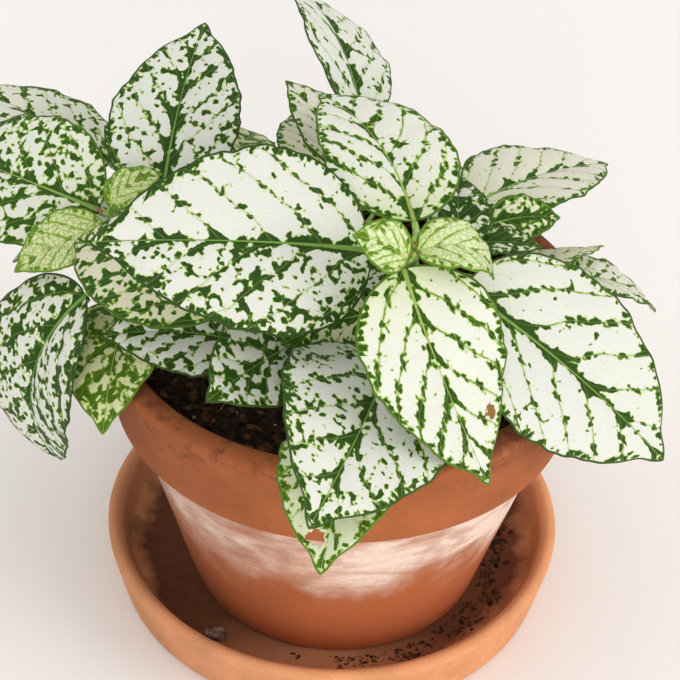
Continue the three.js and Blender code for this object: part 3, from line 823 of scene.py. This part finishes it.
def smooth_curve(points, steps):
    """A centripetal Catmull-Rom curve through points, with this many steps in each span."""
    knots = [np.array(p, float) for p in points]
    knots = [2 * knots[0] - knots[1], *knots, 2 * knots[-1] - knots[-2]]
    path = []
    for i in range(1, len(knots) - 2):
        p0, p1, p2, p3 = knots[i - 1:i + 3]
        t0 = 0.0
        t1 = t0 + np.linalg.norm(p1 - p0) ** 0.5
        t2 = t1 + np.linalg.norm(p2 - p1) ** 0.5
        t3 = t2 + np.linalg.norm(p3 - p2) ** 0.5
        for k in range(steps):
            t = t1 + (t2 - t1) * k / steps
            a1 = (p0 * (t1 - t) + p1 * (t - t0)) / (t1 - t0)
            a2 = (p1 * (t2 - t) + p2 * (t - t1)) / (t2 - t1)
            a3 = (p2 * (t3 - t) + p3 * (t - t2)) / (t3 - t2)
            b1 = (a1 * (t2 - t) + a2 * (t - t0)) / (t2 - t0)
            b2 = (a2 * (t3 - t) + a3 * (t - t1)) / (t3 - t1)
            path.append((b1 * (t2 - t) + b2 * (t - t1)) / (t2 - t1))
    return np.array(path + [knots[-2]])


def direction(leaf, t):
    """Unit direction of a leaf's midrib at each share of its length."""
    turn = np.radians(leaf.heading + leaf.swing * t)
    rise = np.radians(leaf.rise - leaf.arch * t)
    return np.stack([np.cos(rise) * np.cos(turn), np.cos(rise) * np.sin(turn), np.sin(rise)], -1)


def blade_frame(leaf, t):
    """Midrib point, side and up of a leaf at each share of its length."""
    steps = 40
    middles = (np.arange(steps) + 0.5) / steps
    walk = np.vstack([[0, 0, 0], np.cumsum(direction(leaf, middles) * leaf.length / steps, 0)])
    at = np.arange(steps + 1) / steps
    rib = np.stack([leaf.base[k] + np.interp(t, at, walk[:, k]) for k in range(3)], -1)
    turn = np.radians(leaf.heading + leaf.swing * t)
    flat = np.stack([np.sin(turn), -np.cos(turn), 0 * turn], -1)
    up = np.cross(flat, direction(leaf, t))
    lean = np.radians(leaf.roll + leaf.twist * t)[..., None]
    side = flat * np.cos(lean) + up * np.sin(lean)
    normal = up * np.cos(lean) - flat * np.sin(lean)
    return rib, side, normal


def half_width(leaf, t):
    t = np.clip(t, 1e-6, 1 - 1e-6)
    return leaf.width / 2 * t ** BLUNT_BASE * (1 - t) ** TIP_TAPER / PEAK


def edge_distance(leaf, t, u):
    """How far inside the margin a point lies, in millimetres."""
    lean = (half_width(leaf, t + 0.002) - half_width(leaf, t - 0.002)) / (0.004 * leaf.length)
    return half_width(leaf, t) * (1 - np.abs(u)) / np.sqrt(1 + lean ** 2)


def vein_place(leaf, seed, t, u):
    """Where a point lies among the side veins, in millimetres: the distance along the midrib at
    which a vein through it would start, and the spacing of the veins along and square to them."""
    out = np.abs(u) * half_width(leaf, t)
    share = out / (leaf.width / 2)
    climb = leaf.width / 2 * (0.72 * share + 0.5 * share ** 2)
    spacing = leaf.length * VEIN_STEP
    # Veins leave the midrib at an acute angle, by turns on the left and the right.
    stagger = np.where(u < 0, -0.5, -0.1) * np.tanh(out / 2.2)
    wander = 0.55 * np.sin(0.21 * out + 1.7 * seed)
    wander += 0.35 * np.sin(0.5 * out + 0.17 * t * leaf.length + seed)
    start = t * leaf.length - climb + spacing * stagger + wander * np.minimum(out / 4, 1)
    slope = 0.72 + share
    return start, spacing, spacing / np.sqrt(1 + slope ** 2)


def blade_point(leaf, seed, quilting, t, u):
    """A point of a blade's upper face, at t along it and u across it, from -1 to 1."""
    rib, side, normal = blade_frame(leaf, t)
    half = half_width(leaf, t)
    out = np.abs(u)
    calm = np.sin(np.pi * np.clip(t, 0, 1))
    start, spacing, _ = vein_place(leaf, seed, t, u)
    wave = 0.35 * u * out * np.sin(2 * np.pi * 3.5 * t) * calm
    ruffle = 0.13 * out ** 4 * np.sin(2 * np.pi * 8 * t + 2 * seed + 1.5 * np.sign(u)) * calm
    pillow = 0.5 - 0.5 * np.cos(2 * np.pi * start / spacing)
    across = np.minimum(out * half / 3, 1) * (1 - out ** 3)
    scale = leaf.length / 50
    quilt = quilting / MM * scale * across * pillow * np.minimum(calm * 2, 1)
    groove = -0.32 * scale * np.exp(-(u * half / 0.8) ** 2) * (1 - t)
    lift = half * (BLADE_FOLD * out - BLADE_CURL * out ** 2) + wave + ruffle + quilt + groove
    # The outline wanders a little, and narrows just before the tip.
    bumps = 0.016 * np.sin(2 * np.pi * 5.3 * t + 3 * seed + 2 * np.sign(u))
    bumps += 0.01 * np.sin(2 * np.pi * 13 * t + seed)
    pinch = 0.26 * np.exp(-((t - 0.925) / 0.05) ** 2)
    across_place = half * u * (1 + bumps * calm - pinch)
    return rib + side * across_place[..., None] + normal * lift[..., None]


def give_attribute(mesh, name, *columns):
    layer = mesh.attributes.new(name, "FLOAT_VECTOR", "POINT")
    values = np.stack(np.broadcast_arrays(*columns), -1)
    layer.data.foreach_set("vector", values.astype(np.float32).ravel())


def tear(t, u):
    """A ragged hole near the tip: points near its edge move onto it. Also says which are inside."""
    far_t = (t - TORN_AT[0]) / TORN_SIZE[0]
    far_u = (u - TORN_AT[1]) / TORN_SIZE[1]
    away = np.hypot(far_t, far_u)
    angle = np.arctan2(far_t, far_u)
    edge = 1 + 0.16 * np.sin(3 * angle + 1) + 0.1 * np.sin(7 * angle)
    past = away - edge
    scale = np.where((past > 0) & (past < 0.7), (edge + past ** 3 / 0.49) / away, 1)
    return TORN_AT[0] + (t - TORN_AT[0]) * scale, TORN_AT[1] + (u - TORN_AT[1]) * scale, past < 0


def mark_blade(mesh, leaf, seed, t, u):
    """Stores what the leaf's material draws its markings from. Lengths are in millimetres."""
    mark = Mark(*MARKS.get(leaf.name, USUAL_MARK))
    across = u * half_width(leaf, t)
    start, spacing, gap = vein_place(leaf, seed, t, u)
    density = mark.left + (mark.right - mark.left) * (0.5 + 0.5 * np.tanh(across / 1.2))
    rib_line = leaf.length / 55 * (0.11 + 0.62 * (1 - t) ** 4)
    band = mark.band * (1 - t) ** 0.7 * np.minimum(t / 0.04 + 0.3, 1) - np.abs(across)
    lime = np.exp(-(t / 0.14) ** 1.5) * (0.15 + 0.65 * mark.youth)
    lime = np.minimum(1, lime + 1.1 * max(0, mark.youth - 0.6))
    scab = 9
    if leaf.name == SCABBED_LEAF:
        scab = np.hypot((t - SCAB_AT[0]) * leaf.length, across - SCAB_AT[1])
    give_attribute(mesh, "place", across + 31 * seed, t * leaf.length + 17 * seed, 0)
    give_attribute(mesh, "vein", start / spacing, gap, edge_distance(leaf, t, u))
    give_attribute(mesh, "mark", density, mark.youth, np.abs(across) / rib_line)
    give_attribute(mesh, "spread", band, mark.bead, mark.line * (1 - 0.5 * t))
    # Its middle value is the painted beige shade of a leaf that lies in shade.
    give_attribute(mesh, "wound", scab, mark.beige, lime)
    return mark


def make_blade(leaf, settings, materials, draw):
    rows, columns = (42, 24) if leaf.length < SMALL_BLADE else (76, 42)
    seed = draw.uniform(0, 50)
    deselect()
    bpy.ops.mesh.primitive_grid_add(x_subdivisions=columns, y_subdivisions=rows, size=2)
    blade = bpy.context.object
    grid = points_of(blade)
    # The grid is closer beside the midrib, and at the base and the tip.
    u = np.sign(grid[:, 0]) * np.abs(grid[:, 0]) ** 1.3
    v = (grid[:, 1] + 1) / 2
    t = 0.004 + 0.994 * (0.55 * v + 0.45 * (0.5 - 0.5 * np.cos(np.pi * v)))
    torn = np.zeros(len(t), bool)
    if leaf.name == TORN_LEAF:
        t, u, torn = tear(t, u)
    shape = partial(blade_point, leaf, seed, settings.quilting)
    top = shape(t, u)
    step = 0.004
    along = shape(np.minimum(t + step, 0.999), u) - shape(np.maximum(t - step, 0.001), u)
    over = shape(t, np.minimum(u + step, 1)) - shape(t, np.maximum(u - step, -1))
    normal = np.cross(over, along)
    normal /= np.linalg.norm(normal, axis=1)[:, None]
    set_points(blade, top * MM)
    mark = mark_blade(blade.data, leaf, seed, t, u)

    # The blade is thinner at its margin. The midrib and the side veins stand out below, the midrib
    # most near the stalk.
    edge = edge_distance(leaf, t, u)
    thick = settings.blade_thickness / MM * (0.4 + 0.6 * np.minimum(edge / 1.2, 1))
    off_rib = u * half_width(leaf, t)
    keel = 0.95 * leaf.length / 50 * (1 - t) ** 0.9 * np.exp(-(off_rib / 0.55) ** 2)
    start, spacing, gap = vein_place(leaf, seed, t, u)
    near = np.abs(start / spacing - np.round(start / spacing)) * gap
    ridge = 0.22 * np.exp(-(near / 0.35) ** 2) * np.minimum(edge / 3, 1)
    below = (top - normal * (thick + keel + ridge)[:, None])[~torn]
    if torn.any():
        with editing(torn):
            bpy.ops.mesh.delete(type="VERT")
    for material in materials:
        blade.data.materials.append(material)
    apply_modifier(blade, "SOLIDIFY", thickness=settings.blade_thickness, offset=-1,
                   material_offset=1)
    points = points_of(blade)
    points[len(below):] = below * MM
    set_points(blade, points)
    bpy.ops.object.shade_smooth()
    slot = "young_leaf" if mark.youth > YOUNG_FROM else "leaf"
    settle(blade, "blade_" + leaf.name, slot, [], "leaf_" + leaf.name)


def spot_depth(node, at, step, off, bead_size, least):
    """How deep inside a row of spots a point lies, in millimetres. The row runs along at, with a
    spot in each unit of it, and off is the distance from the row. The spots differ in size."""
    row = node("TexVoronoi", W=at, Scale=1.0, Randomness=0.85, feature="F1",
               voronoi_dimensions="1D")
    draw = node("SeparateColor", row.outputs["Color"])
    along = node("Math MULTIPLY", row, step)
    along_square = node("Math MULTIPLY", along, along)
    square = node("Math MULTIPLY_ADD", off, off, along_square)
    far = node("Math SQRT", square)
    varied = node("Math MULTIPLY_ADD", draw, 1.2, -least)
    radius = node("Math ADD", varied, bead_size)
    return node("Math SUBTRACT", radius, far)


def marking_depth(node, place, row, near, edge, mark, spread):
    """How deep inside a green marking a point lies, in millimetres, and how outlines wander there.
    Row is the number of the nearest side vein, and near and edge are the distances to it and to
    the margin."""
    across, along, _ = node("SeparateXYZ", place).outputs
    density, youth, _ = mark
    band, bead_size, line_width = spread
    # Outlines wander by a few tenths of a millimetre. They follow tissue cells 0.8 mm wide in part,
    # which gives them corners.
    tissue = node("TexVoronoi", Vector=place, Scale=1.25, feature="F1", voronoi_dimensions="2D")
    corners = node("SeparateColor", tissue.outputs["Color"])
    rough = node("TexNoise", Vector=place, Scale=0.62, Detail=1.3, Roughness=0.6)
    wander = node("Math MULTIPLY_ADD", rough, 2.4, -1.35)
    ragged = node("Math MULTIPLY_ADD", corners, 0.3, wander)
    # Patches 8 mm across have larger or smaller spots.
    patches = node("TexNoise", Vector=place, Scale=0.13, Detail=1.0)
    patch = node("Math MULTIPLY_ADD", patches, 1.2, -0.6)

    # Spots on the side veins, shifted from one vein to the next.
    bead_row = node("Math MULTIPLY", row, 3.7)
    bead_at = node("Math MULTIPLY_ADD", across, 1 / VEIN_SPOTS, bead_row)
    bead = spot_depth(node, bead_at, VEIN_SPOTS, near, bead_size, 0.4)
    # Spots just inside the margin.
    edge_at = node("Math MULTIPLY_ADD", across, 0.4, along)
    edge_step = node("Math MULTIPLY", edge_at, 1 / MARGIN_SPOTS)
    from_edge = node("Math SUBTRACT", edge, 0.95)
    edge_bead = spot_depth(node, edge_step, MARGIN_SPOTS, from_edge, 0.25, 0.35)
    # Free spots between the veins. They grow together where there are many.
    cells = node("TexVoronoi", Vector=place, Scale=1 / FREE_SPOTS, Randomness=0.9, feature="F1",
                 voronoi_dimensions="2D")
    cell_draw = node("SeparateColor", cells.outputs["Color"])
    cell_size = node("Math MULTIPLY_ADD", cell_draw, 1.3, patch)
    cell_dense = node("Math ADD", cell_size, density)
    free = node("Math MULTIPLY_ADD", cells, -FREE_SPOTS, cell_dense)
    # Thick pieces of a net, so that dense green leaves white islands.
    net_edge = node("TexVoronoi", Vector=place, Scale=1 / NET_CELL, feature="DISTANCE_TO_EDGE",
                    voronoi_dimensions="2D")
    gate = node("TexNoise", Vector=place, Scale=0.30, Detail=1.0)
    gate_size = node("Math MULTIPLY_ADD", gate, 6.0, -2.85)
    # They thicken beside the side veins, as short branches. Young leaves have hardly any.
    branch = node("MapRange", near, 0.3, 2.2, 0.7, 0.0)
    young = node("MapRange", youth, YOUNG_FROM, 1.0, 0.0, -0.9)
    branch = node("Math ADD", branch, young)
    net_branch = node("Math ADD", gate_size, branch)
    net_dense = node("Math ADD", net_branch, density)
    pieces = node("Math MULTIPLY_ADD", net_edge, -NET_CELL, net_dense)
    # Longer runs of green on the side veins, up to 1.2 mm wide and about 4 mm long.
    run = node("TexNoise", Vector=place, Scale=0.24, Detail=1.0)
    run_size = node("Math MULTIPLY_ADD", run, 5.0, -3.25)
    run_wide = node("Math ADD", run_size, bead_size)
    run_most = node("Math MINIMUM", run_wide, 0.62)
    runs = node("Math SUBTRACT", run_most, near)
    # Green beside the midrib. It reaches farther out along each side vein.
    spur = node("MapRange", near, 0.0, 1.8, 1.5, -0.35)
    banded = node("Math MULTIPLY_ADD", gate_size, 0.8, band)
    wide = node("Math ADD", banded, spur)
    spots = bead
    for other in (edge_bead, free, pieces, runs, wide):
        spots = node("Math SMOOTH_MAX", spots, other, 0.35)
    inside = node("Math ADD", spots, ragged)
    # Some side veins are green all along.
    line_depth = node("Math SUBTRACT", line_width, near)
    line_rough = node("Math MULTIPLY_ADD", ragged, 0.25, line_depth)
    score = node("Math MAXIMUM", inside, line_rough)
    return score, ragged


def leaf_material(settings, name, under):
    """A living polka dot leaf: a thin waxy skin over white, air-filled tissue, so it is satin and
    lets a little light through. Green cells fill jagged specks along the veins and the margin."""
    # Light that passes through the blade comes out of its lower cells, within about a millimetre.
    material, node, shader = new_material(name, Roughness=0.52, IOR=1.42, Specular_IOR_Level=0.2,
                                          Subsurface_Weight=0.2, Subsurface_Scale=1.0,
                                          Subsurface_Radius=(0.0012, 0.0014, 0.0006))
    place, *stored = (node("Attribute", attribute_name=title).outputs["Vector"]
                      for title in ("place", "vein", "mark", "spread", "wound"))
    vein, mark, spread, wound = (node("SeparateXYZ", values).outputs for values in stored)
    number, gap, edge = vein
    _, youth, rib = mark
    scab_distance, beige, lime = wound
    # The nearest side vein's number, and the distance to it in millimetres.
    shifted = node("Math ADD", number, 0.5)
    row = node("Math FLOOR", shifted)
    part = node("Math FRACT", shifted)
    centred = node("Math SUBTRACT", part, 0.5)
    share_off = node("Math ABSOLUTE", centred)
    near = node("Math MULTIPLY", share_off, gap)

    score, ragged = marking_depth(node, place, row, near, edge, mark, spread)
    ground = node("ValToRGB", youth, stops=[(0.0, [*settings.leaf_white, 1]), (0.65, "#D7DACF"),
                                            (1, "#DBE2BF")])
    # Faint clouds of green under the skin, 2 mm across.
    cloud = node("TexNoise", Vector=place, Scale=0.5, Detail=3.0)
    clouds = node("MapRange", cloud, 0.5, 0.75, 0.0, 0.3)
    # Painted shade: leaves that lie in shade are tinted beige between their markings, standing in
    # for light that came through other leaves.
    # Near the stalk a blade is lime, most of all a young one.
    for share, tone in ((beige, "#CFC7A4"), (lime, "#BFD07C"), (clouds, "#CBD6BC")):
        ground = node("Mix", share, ground, tone)
    # A spot's rim is lime, then bright green, then dark green in its middle.
    middle = node("ValToRGB", youth, stops=[(0.0, [*settings.leaf_dark, 1]), (0.35, "#2C500B"),
                                            (0.6, [*settings.leaf_green, 1]), (1, "#52740C")])
    halo = node("MapRange", score, -0.24, -0.03)
    green = node("MapRange", score, -0.04, 0.06)
    depth = node("MapRange", score, 0.08, 0.4)
    shallow = node("ValToRGB", youth, stops=[(0.0, "#40651C"), (0.6, "#628A20"), (1, "#7C9C34")])
    leafy = node("Mix", depth, shallow, middle)

    # On young leaves the finest veins show: a net of green lines with cells 1.3 mm across.
    bend = node("TexNoise", Vector=place, Scale=0.8, Detail=1.0)
    bent = node("VectorMath MULTIPLY_ADD", bend.outputs["Color"], (2.2, 2.2, 0), place)
    net = node("TexVoronoi", Vector=bent, Scale=0.78, feature="DISTANCE_TO_EDGE",
               voronoi_dimensions="2D")
    thread = node("MapRange", net, 0.03, 0.16, 1.0, 0.0)
    threads = node("MapRange", youth, YOUNG_FROM, 1.0, 0.0, 0.7)
    thread_share = node("Math MULTIPLY", thread, threads)
    # Side veins are a pale green line 0.2 mm wide, clearest where they cross a spot.
    line = node("MapRange", near, 0.03, 0.15, 1.0, 0.0)
    fade = node("MapRange", score, -0.5, 0.1, 0.4, 0.32)
    line_share = node("Math MULTIPLY", line, fade)
    # The midrib is a line that narrows towards the tip, and the margin a dark line 0.5 mm wide.
    middle_line = node("MapRange", rib, 0.7, 1.15, 1.0, 0.0)
    rib_tone = node("Mix", youth, "#6F9444", "#A9BF66")
    rim = node("MapRange", edge, 0.4, 0.6, 1.0, 0.0)
    rim_tone = node("Mix", youth, "#2B441B", "#5F8422")
    # A wound is dead tissue: a brown scab about 3 mm across.
    scab_edge = node("Math MULTIPLY_ADD", ragged, -1.6, scab_distance)
    scab = node("MapRange", scab_edge, 1.45, 1.8, 1.0, 0.0)
    scab_tone = node("Mix", score, "#85602F", "#4E3A18")
    layers = [(halo, "#B4C677"), (green, leafy), (thread_share, "#5F8A26"), (line_share, "#98B264"),
              (middle_line, rib_tone), (rim, rim_tone), (scab, scab_tone)]
    if under:
        # The lower skin is paler and greyer, and the markings show through it weakly.
        layers.append((0.45, "#C3CDAE"))
    colour = ground
    for share, tone in layers:
        colour = node("Mix", share, colour, tone)
    # Skin cells drawn 0.4 mm apart, larger than they are, so that the sheen breaks up.
    skin = node("TexNoise", Vector=place, Scale=2.6, Detail=2.0)
    # The upper skin is pressed in along the side veins, 1 mm wide, and along the finest ones.
    groove = node("MapRange", near, 0.0, 0.55, -1.6, 0.0, interpolation_type="SMOOTHSTEP")
    fine_groove = node("MapRange", net, 0.0, 0.2, -0.5, 0.0)
    grooves = node("Math ADD", groove, fine_groove)
    relief = node("Math ADD", skin, grooves)
    bump = node("Bump", Height=relief, Strength=0.5, Distance=0.0002)
    fill(shader, Base_Color=colour, Normal=bump)
    return material


class PLANT_OT_leaves(bpy.types.Operator):
    """Makes every leaf blade, folded along its midrib, quilted between its veins and waved"""

    bl_idname = "plant.make_leaves"
    bl_label = "Make the leaves"

    def execute(self, context):
        settings = context.scene.plant_settings
        draw = random.Random(7)
        materials = [leaf_material(settings, "variegated_leaf_upper_skin", False),
                     leaf_material(settings, "variegated_leaf_lower_skin", True)]
        for leaf in LEAVES:
            make_blade(leaf, settings, materials, draw)
        return {"FINISHED"}


def stalk_path(stem_path, leaf):
    """The stalk from its stem to the base of its blade, and on under the midrib."""
    heights = stem_path[:, 2]
    start = np.array([np.interp(leaf.joint, heights, stem_path[:, k]) for k in range(3)])
    end = np.array(leaf.base, float)
    reach = np.linalg.norm(end - start)
    lead = start + (end - start) * 0.25 + np.array([0, 0, reach * 0.08])
    follow = end - direction(leaf, np.array(0.0)) * reach * 0.35
    t = np.linspace(0, 1, 15)[:, None]
    s = 1 - t
    return s ** 3 * start + 3 * s ** 2 * t * lead + 3 * s * t ** 2 * follow + t ** 3 * end


def stalk_material():
    """A living stem: juicy and a little translucent, with a satin skin in green stripes, brown
    where it meets the soil."""
    material, node, shader = new_material("living_stem_skin", Roughness=0.48, IOR=1.42,
                                          Specular_IOR_Level=0.4, Subsurface_Weight=0.15,
                                          Subsurface_Radius=(0.001, 0.0012, 0.0005),
                                          Subsurface_Scale=1.0)
    coordinates = node("TexCoord").outputs["Object"]
    height = node("SeparateXYZ", coordinates).outputs["Z"]
    # Stripes of tone 1 mm across and about 6 mm long.
    drawn = node("Mapping", Vector=coordinates, Scale=(900.0, 900.0, 170.0))
    stripe = node("TexNoise", Vector=drawn, Scale=1.0, Detail=2.0)
    green = node("ValToRGB", stripe, stops=[(0.3, "#6E9438"), (0.7, "#A3C465")])
    woody = node("MapRange", height, 0.074, 0.086, 0.85, 0.0)
    colour = node("Mix", woody, green, "#6A5A34")
    bump = node("Bump", Height=stripe, Strength=0.3, Distance=0.0002)
    fill(shader, Base_Color=colour, Normal=bump)
    return material


class PLANT_OT_stems(bpy.types.Operator):
    """Makes each stem with its leaf stalks, grown together at swollen joints"""

    bl_idname = "plant.make_stems"
    bl_label = "Make the stems"

    def execute(self, context):
        material = stalk_material()
        for name, points in STEMS.items():
            path = smooth_curve(points, 12)
            parts = [tube("stem", path, np.linspace(*STEM_RADII, len(path)), 4)]
            for leaf in [leaf for leaf in LEAVES if leaf.stem == name]:
                bow = stalk_path(path, leaf)
                thin = 0.72 if leaf.length < SMALL_BLADE else 1.0
                parts.append(tube("stalk", bow, np.linspace(*STALK_RADII, len(bow)) * thin, 3))
                deselect()
                bpy.ops.mesh.primitive_uv_sphere_add(
                    segments=16, ring_count=10, radius=JOINT_RADIUS * MM,
                    location=Vector(bow[0]) * MM)
                parts.append(bpy.context.object)
            piece = join(parts)
            bpy.ops.object.transform_apply(location=True, rotation=True, scale=True)
            apply_modifier(piece, "REMESH", mode="VOXEL", voxel_size=STEM_VOXEL * MM)
            apply_modifier(piece, "SMOOTH", factor=0.5, iterations=4)
            bpy.ops.object.shade_smooth()
            piece.data.materials.clear()
            settle(piece, "stalks_" + name, "stalk", [material], "stem_" + name)
        return {"FINISHED"}


def bud_material():
    """A closed bud: downy green scales that dry to red-brown at their tips."""
    material, node, shader = new_material("downy_bud_scales", Roughness=0.6, IOR=1.42,
                                          Specular_IOR_Level=0.3)
    dry = node("Attribute", attribute_name="dry")
    coordinates = node("TexCoord").outputs["Object"]
    # The brown fades in with an uneven edge, 0.5 mm across.
    uneven = node("TexNoise", Vector=coordinates, Scale=2000.0, Detail=2.0)
    share = node("Math ADD", uneven, dry.outputs["Fac"])
    colour = node("ValToRGB", share, stops=[(0.6, "#B4C672"), (0.95, "#9A5B44")])
    bump = node("Bump", Height=uneven, Strength=0.4, Distance=0.0002)
    fill(shader, Base_Color=colour, Normal=bump)
    return material


class PLANT_OT_buds(bpy.types.Operator):
    """Makes the buds of scale-like leaflets at the growing tips"""

    bl_idname = "plant.make_buds"
    bl_label = "Make the buds"

    def execute(self, context):
        material = bud_material()
        draw = random.Random(19)
        for name, points in STEMS.items():
            path = smooth_curve(points, 12)
            up = Vector(path[-1] - path[-4]).normalized().to_track_quat("Z", "Y")
            piece = join([self.make_scale(up, path[-1], draw, k) for k in range(5)])
            bpy.ops.object.shade_smooth()
            settle(piece, "bud_" + name, "stalk", [material])
        return {"FINISHED"}

    def make_scale(self, up, tip, draw, number):
        """One leaflet: a flattened drop 3 to 4.6 mm long that curves inwards."""
        deselect()
        bpy.ops.mesh.primitive_uv_sphere_add(segments=14, ring_count=10, radius=1)
        scale = bpy.context.object
        length = draw.uniform(1.5, 2.3)
        turn = Matrix.Rotation(math.radians(72 * number + draw.uniform(-15, 15)), 3, "Z")
        lean = Matrix.Rotation(math.radians(draw.uniform(16, 34)), 3, "X")
        dry = []
        moved = []
        for x, y, z in points_of(scale):
            narrow = 1 - 0.55 * (z + 1) / 2
            local = Vector((x * 0.95 * narrow, y * 0.35 + 0.35 * z * z - 0.7, (z + 1) * length))
            moved.append(((up.to_matrix() @ turn @ lean @ local) + Vector(tip)) * MM)
            dry.append(max(0.0, z) * 0.8)
        set_points(scale, moved)
        layer = scale.data.attributes.new("dry", "FLOAT", "POINT")
        layer.data.foreach_set("value", np.asarray(dry, np.float32))
        return scale


class PLANT_OT_hairs(bpy.types.Operator):
    """Makes the short pale hairs that stand on the stems and leaf stalks"""

    bl_idname = "plant.make_hairs"
    bl_label = "Make the hairs"

    def execute(self, context):
        # Hairs are clear cells full of sap: glassy, nearly white in bulk.
        material, _, _ = new_material("stem_hair", Roughness=0.35, IOR=1.4, Base_Color="#E6EBD2")
        draw = random.Random(23)
        for name in STEMS:
            stem = bpy.data.objects["stalks_" + name]
            points = []
            faces = []
            vertices = list(stem.data.vertices)
            for vertex in draw.sample(vertices, min(HAIRS_PER_STEM, len(vertices))):
                # They start just above the soil.
                if vertex.co.z > (SOIL_TOP + 2.9) * MM:
                    self.grow(draw, vertex.co / MM, vertex.normal, points, faces)
            settle(new_mesh("hairs", points, [], faces), "hairs_" + name, "stalk", [material])
        return {"FINISHED"}

    def grow(self, draw, foot, normal, points, faces):
        """One hair: a three-sided cone up to 0.8 mm long, leaning a little."""
        wild = Vector([draw.uniform(-0.35, 0.35) for _ in range(3)])
        along = (normal + wild).normalized()
        side = along.orthogonal().normalized()
        third = along.cross(side)
        start = len(points)
        for k in range(3):
            turn = 2 * math.pi * k / 3
            out = side * math.cos(turn) + third * math.sin(turn)
            points.append((foot + out * HAIR_RADIUS) * MM)
        points.append((foot + along * draw.uniform(0.35, 0.8)) * MM)
        faces += [(start + k, start + (k + 1) % 3, start + 3) for k in range(3)]
        faces.append((start + 2, start + 1, start))


class PLANT_PT_panel(bpy.types.Panel):
    """Lists the pieces of the plant and their settings"""

    bl_idname = "PLANT_PT_panel"
    bl_label = "Potted polka dot plant"
    bl_space_type = "VIEW_3D"
    bl_region_type = "UI"
    bl_category = "Plant"

    def draw(self, context):
        for operator in OPERATORS:
            self.layout.operator(operator.bl_idname)
        for group in SETTINGS:
            settings = getattr(context.scene, group)
            for prop in type(settings).__annotations__:
                self.layout.prop(settings, prop)


SETTINGS = {
    "plant_settings": PlantSettings,
    "clay_settings": ClaySettings,
    "stage_settings": StageSettings,
}
OPERATORS = [PLANT_OT_stage, PLANT_OT_saucer, PLANT_OT_pot, PLANT_OT_soil, PLANT_OT_stems,
             PLANT_OT_buds, PLANT_OT_hairs, PLANT_OT_leaves]


def register():
    for group in [*SETTINGS.values(), *OPERATORS, PLANT_PT_panel]:
        bpy.utils.register_class(group)
    for name, group in SETTINGS.items():
        setattr(bpy.types.Scene, name, PointerProperty(type=group))


def unregister():
    for name in SETTINGS:
        delattr(bpy.types.Scene, name)
    for group in reversed([*SETTINGS.values(), *OPERATORS, PLANT_PT_panel]):
        bpy.utils.unregister_class(group)


def main():
    register()
    bpy.ops.plant.make_stage()
    bpy.ops.plant.make_saucer()
    bpy.ops.plant.make_pot()
    bpy.ops.plant.make_soil()
    bpy.ops.plant.make_stems()
    bpy.ops.plant.make_buds()
    bpy.ops.plant.make_hairs()
    bpy.ops.plant.make_leaves()


if __name__ == "__main__":
    main()
